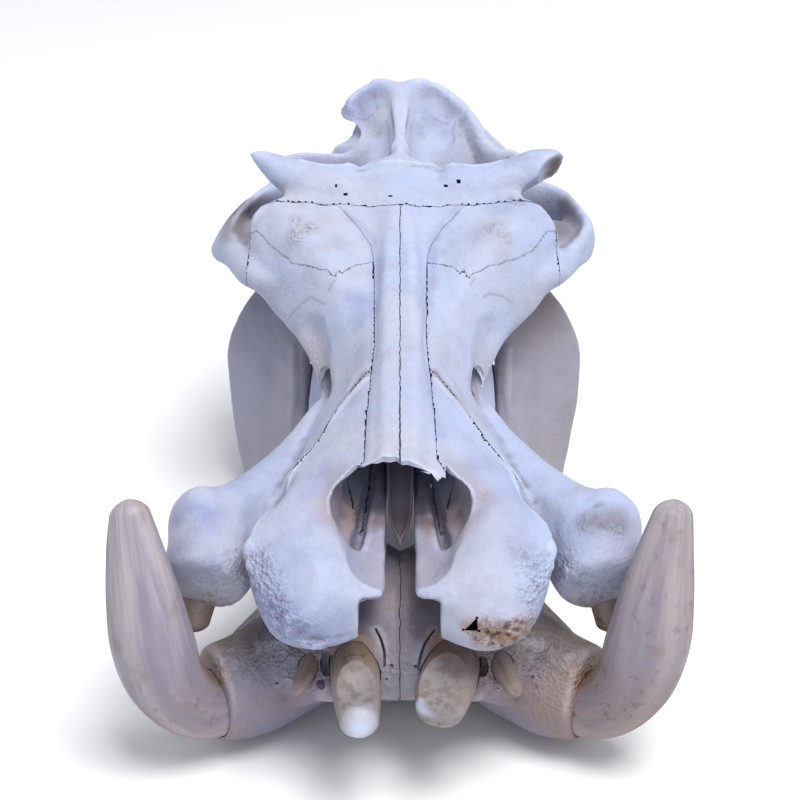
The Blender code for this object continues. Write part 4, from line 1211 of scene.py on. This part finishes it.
MARKS = {
    # Brown where stained, on bone and ivory; two strips are painted shade instead: beside the muzzle's edge
    # and in the dip of the face's flank in front of the eyes.
    "stain_and_shade": (
        (1.0, 26, ((72, 2, 164), (98, 6, 162))), (1.0, 13, ((57, 5, 175),)),
        (0.5, 10, ((72, 98, 234), (78, 92, 230))), (0.4, 14, ((-118, 52, 198), (-122, 60, 190))),
        (0.35, 16, ((88, 415, 330), (96, 405, 328))), (0.3, 16, ((-90, 415, 330), (-102, 405, 326))),
        (0.35, 24, ((-100, 560, 350), (-70, 545, 350))), (0.3, 90, ((212, 40, 200), (216, 34, 130))),
        *two(0.45, 14, ((60, 44, 118), (72, 36, 108))),
        *two(0.4, 26, ((72, 350, 240), (80, 310, 222))), (0.4, 60, ((168, 500, 60), (170, 520, 120))),
        *two(0.95, 17, TUSK_OUTSIDE), *two(0.9, 15, TUSK_INSIDE),
        *two(0.8, 50, ((170, 108, 142), (180, 92, 112))), (0.75, 80, ((190, 30, 70), (160, 50, 46))),
        (0.4, 80, ((-190, 30, 70), (-160, 50, 46))), *two(0.3, 10, ((52, 250, 262), (84, 205, 214))),
        (0.95, 26, ((-36, 44, 118), (-36, 28, 118))), (0.95, 26, ((38, 50, 118), (42, 34, 118))),
        *two(0.85, 18, ((97, 420, 202), (97, 412, 176))),
        *two(0.35, 14, ((134, 96, 170), (140, 92, 150))),
    ),
    # Brown of stained bone mixed with painted shade: in the nose and on its plates, below the eye sockets,
    # at the temples, in the groove beside the muzzle's edge, under the canine clubs and on the jaw's front.
    "hollow": (
        (1.0, 60, ((0, 150, 215), (0, 240, 235), (0, 340, 240))), (0.8, 26, ((0, 122, 212), (0, 116, 226))),
        *two(0.8, 40, ((70, 400, 200), (66, 460, 240))), *two(0.7, 9, EDGE_SHADOW_PATH),
        (0.8, 22, ((0, 140, 176), (0, 128, 172))), *two(0.35, 50, ((60, 560, 320), (90, 560, 300))),
        *two(0.4, 34, ((124, 76, 176), (122, 92, 160))), (0.3, 40, ((0, 110, 128), (0, 60, 122))),
        *two(0.4, 36, ((24, 52, 176), (24, 90, 192), (24, 120, 196))),
        *two(1.0, 36, ((46, 94, 224), (42, 112, 226), (40, 112, 208))),
        *two(0.6, 44, ((60, 30, 70), (90, 44, 62))),
    ),
    # Painted shade, in brown, on walls that face the middle: in the eye sockets and temples, and on the
    # inner sides of the jaw's branches.
    "inside": (
        *two(1.0, 34, ((140, 462, 305), (152, 500, 300), (140, 548, 300))),
        *two(0.9, 50, ((120, 470, 150), (120, 490, 200))),
        *two(0.8, 40, ((115, 440, 160), (118, 420, 120))),
    ),
    # Painted shade: dark in the eye sockets, below the cheekbones and on the right horn's broken face; also
    # darker in two dents on the right club.
    "dark": (
        (1.0, 22, ((154, 508, 362), (160, 509, 352), (150, 510, 350))),
        *two(0.75, 32, ((160, 470, 304), (164, 505, 310), (166, 530, 308))),
        (0.5, 22, ((158, 88, 212), (180, 92, 214))), (0.6, 9, ((142, 70, 190), (150, 64, 184))),
    ),
    # A lavender tint on the bone, and painted bluish shade, most of it on the left side and on the left jaw
    # branch, which lie in shade.
    "cool_tint_and_shade": (
        (1.0, 30, ((-114, 44, 200), (-102, 18, 187), (-88, 0, 172))),
        (0.9, 34, ((-60, 10, 170), (-80, 40, 190))),
        (1.0, 26, ((-178, 108, 210), (-160, 92, 215), (-158, 72, 192), (-176, 84, 186))),
        (0.7, 40, ((165, 90, 200), (180, 90, 180))), *two(0.45, 50, ((90, 60, 215), (70, 120, 240))),
        (0.8, 20, ((-42, 342, 293), (-38, 315, 288))), (0.6, 26, ((34, 632, 372), (50, 620, 358))),
        (0.6, 26, ((-30, 646, 386), (-46, 636, 368))), (0.5, 30, ((108, 450, 335), (140, 440, 320))),
        (0.6, 20, ((110, 500, 366), (130, 504, 368))), (0.7, 90, ((-160, 450, 180), (-165, 500, 90))),
        (0.5, 9, NASAL_EDGE["left"]), (0.5, 9, NASAL_EDGE["right"]),
        *two(0.6, 30, ((36, 70, 190), (30, 110, 192))),
        (0.6, 60, ((-120, 200, 185), (-150, 130, 180))), *two(0.5, 60, ((90, 40, 60), (120, 60, 50))),
    ),
    "crack": tuple((0.42, 2.0, line) for line in crack_lines),
    "rough": ROUGH + JAW_ROUGH,
    "open": OPEN_SEAMS,
    # Paler: the pale tips of the front teeth and the top of the brow, and painted highlight along the
    # muzzle's lit edge and on the jaw's branches, which face the light.
    "pale": (
        (1.0, 19, ((-32, -40, 100), (-32, -32, 104))), (0.9, 11, ((12, -16, 106), (24, -30, 100))),
        (0.4, 14, ((-60, 500, 350), (60, 500, 350))), *two(0.8, 6, MUZZLE_EDGE),
        *two(0.9, 110, ((150, 440, 150), (156, 440, 60))), *two(0.9, 60, ((112, 408, 130), (112, 408, 60))),
    ),
    "worn": (
        (1.0, 26, ((-37, 8, 118), (-36, -20, 112))),
        (1.0, 30, ((34, 10, 116), (30, -16, 112), (31, -24, 101))),
    ),
}


print("marks:", ", ".join(MARKS))

# %% [markdown]
# Geometry nodes can gather all pieces into one mesh. For each piece, the others are what is left
# of that crowd without the corners that bear its number, and a proximity node measures from each
# of its corners to them.

# %% Distance to the next piece
def add(tree, kind, inputs=(), **settings):
    """A node with its settings, and its inputs set or linked by name or number."""
    node = tree.nodes.new(kind)
    for key, value in settings.items():
        setattr(node, key, value)
    for key, value in dict(inputs).items():
        if isinstance(value, bpy.types.NodeSocket):
            tree.links.new(value, node.inputs[key])
        else:
            node.inputs[key].default_value = value
    return node


def crowd_of(pieces):
    """All pieces as one mesh, in which each corner still knows the number of its piece."""
    group = bpy.data.collections.new("crowd")
    bpy.context.scene.collection.children.link(group)
    for number, piece in enumerate(pieces.values()):
        store(piece, "number", np.full(len(piece.data.vertices), float(number)))
        group.objects.link(piece)
    tree = bpy.data.node_groups.new("gather", "GeometryNodeTree")
    tree.interface.new_socket("Geometry", in_out="OUTPUT", socket_type="NodeSocketGeometry")
    gather = add(tree, "GeometryNodeCollectionInfo", {"Collection": group})
    real = add(tree, "GeometryNodeRealizeInstances", {"Geometry": gather.outputs[0]})
    add(tree, "NodeGroupOutput", {0: real.outputs[0]})
    crowd = bpy.data.objects.new("crowd", bpy.data.meshes.new("crowd"))
    bpy.context.scene.collection.objects.link(crowd)
    crowd.modifiers.new("Gather", "NODES").node_group = tree
    settle(crowd)
    bpy.data.collections.remove(group)
    return crowd


def seam_finder(crowd):
    """Nodes that measure each corner's distance to every piece but the numbered one."""
    tree = bpy.data.node_groups.new("seams", "GeometryNodeTree")
    tree.interface.new_socket("Geometry", in_out="INPUT", socket_type="NodeSocketGeometry")
    tree.interface.new_socket("Geometry", in_out="OUTPUT", socket_type="NodeSocketGeometry")
    start = add(tree, "NodeGroupInput")
    target = add(tree, "GeometryNodeObjectInfo", {"Object": crowd})
    number = add(tree, "GeometryNodeInputNamedAttribute", {"Name": "number"}, data_type="FLOAT")
    same = add(tree, "FunctionNodeCompare", {"A": number.outputs["Attribute"], "Epsilon": 0.1},
               data_type="FLOAT", operation="EQUAL")
    others = add(tree, "GeometryNodeDeleteGeometry",
                 {"Geometry": target.outputs["Geometry"], "Selection": same.outputs[0]})
    near = add(tree, "GeometryNodeProximity", {0: others.outputs[0]})
    keep = add(tree, "GeometryNodeStoreNamedAttribute",
               {"Geometry": start.outputs[0], "Name": "seam", "Value": near.outputs["Distance"]})
    add(tree, "NodeGroupOutput", {0: keep.outputs[0]})
    return tree, same


# %% [markdown]
# A corner that lies deeper than its neighbours is in a crevice, which is painted in shade. One that
# lies higher is on an edge, which is worn pale. Each corner's value is mixed with its neighbours' a
# few times, so that the finish follows the shape and not single corners.

# %% Crevices, and every mark stored
SHARP_ANGLE = np.radians(42)
SPREAD = 0.6
INWARD_START, INWARD_RISE = 0.2, 2.0


# This mask puts the painted shade of the inside mark on faces turned towards the middle plane.
def facing_in(points, normals):
    """1 on a face that looks towards the middle plane, and 0 on one that looks away from it."""
    return np.clip(INWARD_START - INWARD_RISE * normals[:, 0] * np.sign(points[:, 0]), 0, 1)


def crevice(obj, rounds=4):
    """Depth of each corner below the mean of its neighbours, in mm, spread over some rounds."""
    edges = np.empty(len(obj.data.edges) * 2, np.int32)
    obj.data.edges.foreach_get("vertices", edges)
    a, b = edges.reshape(-1, 2).T
    ends, others = np.concatenate([a, b]), np.concatenate([b, a])
    count = len(obj.data.vertices)
    links = np.maximum(np.bincount(ends, minlength=count), 1)
    points, normals = read_points(obj), read_normals(obj)
    mean = np.column_stack([np.bincount(ends, points[others, i], count) for i in range(3)])
    depth = ((mean / links[:, None] - points) * normals).sum(1)
    for _ in range(rounds):
        depth = (1 - SPREAD) * depth + SPREAD * np.bincount(ends, depth[others], count) / links
    return depth


for piece in pieces.values():
    clean(piece)
crowd = crowd_of(pieces)
finder, same = seam_finder(crowd)
for number, piece in enumerate(pieces.values()):
    same.inputs["B"].default_value = number
    piece.modifiers.new("Seams", "NODES").node_group = finder
    settle(piece)
    points, normals = read_points(piece), read_normals(piece)
    for kind, strokes in MARKS.items():
        amount = sum(weight * nearness(points, path, reach) for weight, reach, path in strokes)
        # The painted shade of the inside mark falls only on faces turned towards the middle.
        if kind == "inside":
            amount = amount * facing_in(points, normals)
        store(piece, kind, np.clip(amount, 0, 1))
    store(piece, "crevice", crevice(piece))
    piece.data.attributes.remove(piece.data.attributes["number"])
    piece.data.shade_smooth()
    piece.data.set_sharp_from_angle(angle=SHARP_ANGLE)
    even = piece.modifiers.new("Even", "WEIGHTED_NORMAL")
    even.keep_sharp = True
    settle(piece)
bpy.data.objects.remove(crowd)
print("marks on every corner of", len(pieces), "pieces")

# %% [markdown]
# ## The finish of bone
#
# The colour is mixed in layers, as a model maker would paint it: a cold white ground, a warm
# glaze in large patches, fine speckle, brown in the stained places and dark in seams, and painted
# shade in hollows and crevices, with painted light on some edges. The same noise that colours the
# bone also roughens it, through a bump, so colour and relief agree.

# %% Paints and node tools
PAINTS = {
    # The first paint below is a lavender tint of the bone and also painted bluish shade.
    "lilac_tint_and_shade": (0.225, 0.255, 0.46), "speck": (0.34, 0.31, 0.35), "pore": (0.20, 0.17, 0.22),
    # The brown of the hollows below is stained bone mixed with painted shade.
    # The dark paint below is painted shade.
    # The inside paint below is painted shade on walls that face the middle.
    "hollow": (0.25, 0.17, 0.165), "inside": (0.22, 0.16, 0.14), "dark": (0.12, 0.09, 0.08),
    "stain_and_shade": (0.34, 0.19, 0.10), "crumb": (0.05, 0.03, 0.02), "crack": (0.14, 0.12, 0.18),
    # The crevice paint below is painted shade; the seam paint is the dark of the sutures.
    "crevice": (0.15, 0.12, 0.13), "seam": (0.07, 0.055, 0.07),
}


def math_of(tree, operation, a, b):
    return add(tree, "ShaderNodeMath", {0: a, 1: b}, operation=operation).outputs[0]


def times(tree, a, b):
    return math_of(tree, "MULTIPLY", a, b)


def between(tree, value, low, high, to_low=0.0, to_high=1.0):
    """A value's place between low and high, smoothly, as a number from to_low to to_high."""
    return add(tree, "ShaderNodeMapRange", {0: value, 1: low, 2: high, 3: to_low, 4: to_high},
               interpolation_type="SMOOTHSTEP").outputs[0]


def mixed(tree, factor, a, b):
    return add(tree, "ShaderNodeMix", {0: factor, 6: a, 7: b}, data_type="RGBA").outputs[2]


def painted(tree, ground, layers):
    """A ground colour under layers, each given by how much it covers and its colour."""
    colour = (*ground, 1)
    for cover, paint in layers:
        colour = mixed(tree, cover, colour, (*paint, 1))
    return colour


def mark(tree, name):
    return add(tree, "ShaderNodeAttribute", attribute_name=name).outputs["Fac"]


def noise(tree, place, scale, detail=3.0, roughness=0.55):
    return add(tree, "ShaderNodeTexNoise", {"Vector": place, "Scale": scale, "Detail": detail,
                                            "Roughness": roughness}).outputs["Fac"]


def cells_of(tree, place, scale, feature):
    """Distance to the middle of the nearest of many random cells."""
    return add(tree, "ShaderNodeTexVoronoi", {"Vector": place, "Scale": scale},
               feature=feature).outputs["Distance"]


def new_finish(name):
    """A material with a Principled shader, and its tree."""
    finish = bpy.data.materials.new(name)
    finish.use_nodes = True
    return finish, finish.node_tree, finish.node_tree.nodes["Principled BSDF"]


def bump(tree, layers):
    """Bumps one over the other: rows of height, distance in metres and strength."""
    normal = None
    for height, distance, strength in layers:
        inputs = {"Height": height, "Distance": distance, "Strength": strength}
        if normal is not None:
            inputs["Normal"] = normal
        normal = add(tree, "ShaderNodeBump", inputs).outputs[0]
    return normal


# %% [markdown]
# Two bones are mixed in the same way: the upper skull is bleached and cold, and the jaw is darker
# and browner, its darkness partly painted shade for the low parts under the skull. Only their four
# ground colours differ. A grain counts its patches for each metre, and the distances to a seam are
# in metres.

# %% Upper skull and jaw
BROAD, CLOUD, MOTTLE, SPECK, PITS, CELLS = 7.0, 38.0, 105.0, 260.0, 330.0, 150.0
SEAM_LINE, CLEAR_OF_SEAM = (0.0002, 0.0012), (0.002, 0.010)


def bone(name, cold, warm, shade, pale_wear_and_highlight):
    """Bone: paints in layers over a cold ground, and pores and grain as bumps."""
    finish, tree, shader = new_finish(name)
    place = add(tree, "ShaderNodeTexCoord").outputs["Object"]
    broad, cloud = noise(tree, place, BROAD), noise(tree, place, CLOUD, 5, 0.6)
    mottle, speck = noise(tree, place, MOTTLE, 4, 0.7), noise(tree, place, SPECK, 4, 0.65)
    pits, cells = cells_of(tree, place, PITS, "F1"), cells_of(tree, place, CELLS, "SMOOTH_F1")
    rough, crevices = mark(tree, "rough"), mark(tree, "crevice")
    lilac_tint_and_shade = times(tree, mark(tree, "cool_tint_and_shade"), between(tree, cloud, 0.3, 0.7, 0.45, 0.95))
    pores = times(tree, times(tree, rough, between(tree, cells, 0.40, 0.22)), 0.55)
    hollow = times(tree, mark(tree, "hollow"), between(tree, cloud, 0.2, 0.75, 1.0, 0.7))
    stain_and_shade = times(tree, mark(tree, "stain_and_shade"), between(tree, cloud, 0.35, 0.7, 1.0, 0.3))
    crumbs = times(tree, times(tree, stain_and_shade, rough), between(tree, cells, 0.42, 0.22))
    away = between(tree, mark(tree, "seam"), *CLEAR_OF_SEAM)
    near = between(tree, mark(tree, "seam"), *SEAM_LINE, 1.0, 0)
    ajar = math_of(tree, "ADD", times(tree, mark(tree, "open"), 0.7), 0.22)
    outside = math_of(tree, "SUBTRACT", 1.0, mark(tree, "hollow"))
    colour = painted(tree, cold, (
        (between(tree, broad, 0.36, 0.66), warm),
        (between(tree, cloud, 0.42, 0.75, 0, 0.5), shade),
        (between(tree, mottle, 0.5, 0.75, 0, 0.35), shade),
        # Lavender tint of the bone, with painted bluish shade on the left side.
        (lilac_tint_and_shade, PAINTS["lilac_tint_and_shade"]),
        (between(tree, speck, 0.52, 0.8, 0, 0.4), PAINTS["speck"]),
        (pores, PAINTS["pore"]),
        # Stained brown and painted shade in the nose, below the eyes, in the muzzle's edge groove and on
        # the jaw's front.
        (hollow, PAINTS["hollow"]),
        # Painted shade on walls that face the middle, in the eye sockets and inside the jaw's branches.
        (times(tree, mark(tree, "inside"), 0.8), PAINTS["inside"]),
        # Painted shade in the eye sockets and on the right horn's broken face; darker in two dents on the
        # right club.
        (mark(tree, "dark"), PAINTS["dark"]),
        # Brown where stained, and painted shade beside the muzzle's edge and in the flank's dip in front of
        # the eyes.
        (stain_and_shade, PAINTS["stain_and_shade"]),
        (crumbs, PAINTS["crumb"]),
        (mark(tree, "crack"), PAINTS["crack"]),
        # Painted shade in crevices, clear of the seams.
        (times(tree, away, between(tree, crevices, 0.02, 0.2, 0, 0.6)), PAINTS["crevice"]),
        (times(tree, away, between(tree, crevices, -0.03, -0.2, 0, 0.35)), pale_wear_and_highlight),
        # Painted highlight along the muzzle's lit edge and on the jaw's branches; a paler top of the brow.
        (times(tree, mark(tree, "pale"), 0.45), pale_wear_and_highlight),
        (times(tree, times(tree, near, ajar), outside), PAINTS["seam"]),
    ))
    grain = math_of(tree, "ADD", times(tree, speck, 0.6), times(tree, cloud, 0.8))
    depth = math_of(tree, "ADD", between(tree, rough, 0, 1, 0.12, 1.3), stain_and_shade)
    porous = times(tree, math_of(tree, "ADD", pits, cells), depth)
    normal = bump(tree, ((grain, 0.0014, 0.5), (porous, 0.0026, 0.8)))
    tree.links.new(colour, shader.inputs["Base Color"])
    tree.links.new(between(tree, cloud, 0.3, 0.7, 0.55, 0.75), shader.inputs["Roughness"])
    tree.links.new(normal, shader.inputs["Normal"])
    shader.inputs["Specular IOR Level"].default_value = 0.3
    return finish


skull_bone = bone("skull_bone", (0.37, 0.43, 0.62), (0.43, 0.44, 0.54), (0.31, 0.31, 0.40),
                  (0.56, 0.63, 0.82))
# The jaw's darker ground is partly browner bone and partly painted shade for its low parts under the skull.
jaw_bone = bone("jaw_bone", (0.215, 0.22, 0.29), (0.25, 0.205, 0.195), (0.15, 0.13, 0.14),
                (0.48, 0.47, 0.56))

print("bone finishes:", skull_bone.name, jaw_bone.name)

# %% [markdown]
# ## The finish of tusks and teeth
#
# A tusk's colour runs lengthwise like its grooves. The noise reads the 'flow' kept on the
# tooth, its angle as a circle and its place along, squeezed so that the patches become streaks.

# %% Tusk and tooth
def streaks(tree, around, along, detail=4.0):
    """Noise that is 'around' patches round the tooth and 'along' patches for each 100 mm."""
    flow = add(tree, "ShaderNodeAttribute", attribute_name="flow").outputs["Vector"]
    scale = (around, around, along)
    squeezed = add(tree, "ShaderNodeMapping", {"Vector": flow, "Scale": scale}).outputs[0]
    return noise(tree, squeezed, 1.0, detail, 0.6)


IVORY_PAINTS = {
    "hair": (0.26, 0.21, 0.22), "stain_and_shade": (0.19, 0.12, 0.075), "fleck": (0.05, 0.035, 0.03),
    "facet": (0.25, 0.235, 0.25), "facet_brown": (0.17, 0.14, 0.13), "tip": (0.58, 0.64, 0.80),
}


SPOTS, CHIPS = 30.0, 120.0


def tooth_finish(name, pale, dark, brown):
    """Ivory or enamel: streaks along the tooth, brown flecks, worn facets and a pale tip."""
    finish, tree, shader = new_finish(name)
    place = add(tree, "ShaderNodeTexCoord").outputs["Object"]
    wide, thin = streaks(tree, around=1.1, along=0.5), streaks(tree, around=5.0, along=0.8)
    hair = streaks(tree, around=22.0, along=1.4, detail=2.0)
    spots, chips = noise(tree, place, SPOTS, 4), noise(tree, place, CHIPS)
    stain_and_shade, worn = mark(tree, "stain_and_shade"), mark(tree, "worn")
    brown_facet = between(tree, chips, 0.42, 0.62)
    colour = painted(tree, pale, (
        (between(tree, wide, 0.36, 0.64), dark),
        (between(tree, thin, 0.48, 0.72, 0, 0.35), brown),
        (between(tree, spots, 0.56, 0.72, 0, 0.4), brown),
        (between(tree, hair, 0.5, 0.72, 0, 0.25), IVORY_PAINTS["hair"]),
        (times(tree, stain_and_shade, between(tree, thin, 0.3, 0.7, 1.0, 0.5)), IVORY_PAINTS["stain_and_shade"]),
        (times(tree, stain_and_shade, between(tree, chips, 0.58, 0.68, 0, 0.8)), IVORY_PAINTS["fleck"]),
    ))
    facet = painted(tree, IVORY_PAINTS["facet"], ((brown_facet, IVORY_PAINTS["facet_brown"]),))
    colour = mixed(tree, worn, colour, facet)
    colour = mixed(tree, mark(tree, "pale"), colour, (*IVORY_PAINTS["tip"], 1))
    heights = math_of(tree, "ADD", thin, times(tree, hair, 0.5))
    normal = bump(tree, ((heights, 0.0008, 0.4), (spots, 0.001, 0.3)))
    tree.links.new(colour, shader.inputs["Base Color"])
    tree.links.new(between(tree, thin, 0.3, 0.7, 0.42, 0.62), shader.inputs["Roughness"])
    tree.links.new(normal, shader.inputs["Normal"])
    return finish


tusk_ivory = tooth_finish("tusk", (0.40, 0.365, 0.395), (0.235, 0.215, 0.30), (0.21, 0.14, 0.11))
tooth_ivory = tooth_finish("tooth", (0.31, 0.27, 0.27), (0.21, 0.155, 0.14), (0.14, 0.085, 0.065))

FINISHES = {"skull_bone": skull_bone, "jaw_bone": jaw_bone, "tusk": tusk_ivory, "tooth": tooth_ivory}


def slot_of(name):
    """The finish for a piece: jaw, tusk, tooth, or else the bone of the upper skull."""
    if name.startswith("mandible"):
        return "jaw_bone"
    if "tusk" in name:
        return "tusk"
    return "tooth" if "incisor" in name or "canine" in name else "skull_bone"


print("finishes:", ", ".join(FINISHES))

# %% [markdown]
# ## Put each piece in its place
#
# Every piece stands for one node of the CAD model, which it hides, and rides with the root body.

# %% Replace the nodes
for name, piece in pieces.items():
    piece.name = name + "_finished"
    slot = slot_of(name)
    piece.data.materials.clear()
    piece.data.materials.append(FINISHES[slot])
    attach(piece, "root")
    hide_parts(name)
print("pieces:", len(pieces), "triangles:",
      sum(len(face.vertices) - 2 for piece in pieces.values() for face in piece.data.polygons))

# %% [markdown]
# ## Floor, light and camera
#
# The skull stands on a plain pale floor in soft studio light: one large window high above it
# and a pale sky all round. The camera looks down on the face at thirty degrees, from 1.6 metres
# away, as a visitor does.

# %% Floor
FLOOR_SIZE = 60


def flat_square(name, size):
    """A flat square floor, size metres wide, at height 0."""
    half = size / 2
    mesh = bpy.data.meshes.new(name)
    mesh.from_pydata([(-half, -half, 0), (half, -half, 0), (half, half, 0), (-half, half, 0)], [],
                     [(0, 1, 2, 3)])
    obj = bpy.data.objects.new(name, mesh)
    bpy.context.scene.collection.objects.link(obj)
    return obj


floor = flat_square("floor", FLOOR_SIZE)
floor_finish, floor_tree, floor_shader = new_finish("floor")
floor_shader.inputs["Base Color"].default_value = (0.86, 0.86, 0.88, 1)
floor_shader.inputs["Roughness"].default_value = 0.9
floor.data.materials.append(floor_finish)


print("floor:", FLOOR_SIZE, "m wide")

# %% [markdown]
# The window is an area light. Its size makes the shadow's edge soft, and the pale sky lifts the
# shadow's depth, so that the hollows of the skull stay readable.

# %% Light
def window(name, place, aim, size, power, colour):
    """A square soft light at a place, turned towards its aim."""
    light = bpy.data.lights.new(name, "AREA")
    light.size = size
    light.energy = power
    light.color = colour
    obj = bpy.data.objects.new(name, light)
    bpy.context.scene.collection.objects.link(obj)
    obj.location = place
    away = obj.location - type(obj.location)(aim)
    obj.rotation_euler = away.to_track_quat("Z", "Y").to_euler()
    return obj


window("key", place=(1.0, -1.2, 4.6), aim=(0, 0, 0.1), size=2.4, power=235, colour=(1.0, 0.98, 0.95))

world = bpy.data.worlds.new("sky")
bpy.context.scene.world = world
world.use_nodes = True
sky = world.node_tree.nodes["Background"]
sky.inputs["Color"].default_value = (0.93, 0.96, 1.0, 1)
sky.inputs["Strength"].default_value = 0.64

print("light and sky are set")

# %% [markdown]
# The camera stands on the skull's middle plane. A long lens at 1.6 metres keeps the near tusks
# and the far nape in the proportion that a visitor sees.

# %% Camera
LENS, SENSOR = 76, 36
AIM, DISTANCE, ELEVATION = (0.0, -0.001, 0.2), 1.6, np.radians(30)

camera_data = bpy.data.cameras.new("camera")
camera_data.lens = LENS
camera_data.sensor_width = SENSOR
camera = bpy.data.objects.new("camera", camera_data)
bpy.context.scene.collection.objects.link(camera)
camera.location = AIM + DISTANCE * np.array((0, -np.cos(ELEVATION), np.sin(ELEVATION)))
camera.rotation_euler = (np.radians(90) - ELEVATION, 0, 0)
bpy.context.scene.camera = camera
bpy.context.scene.view_settings.view_transform = "Standard"
print("camera at", np.round(camera.location, 3), "m")
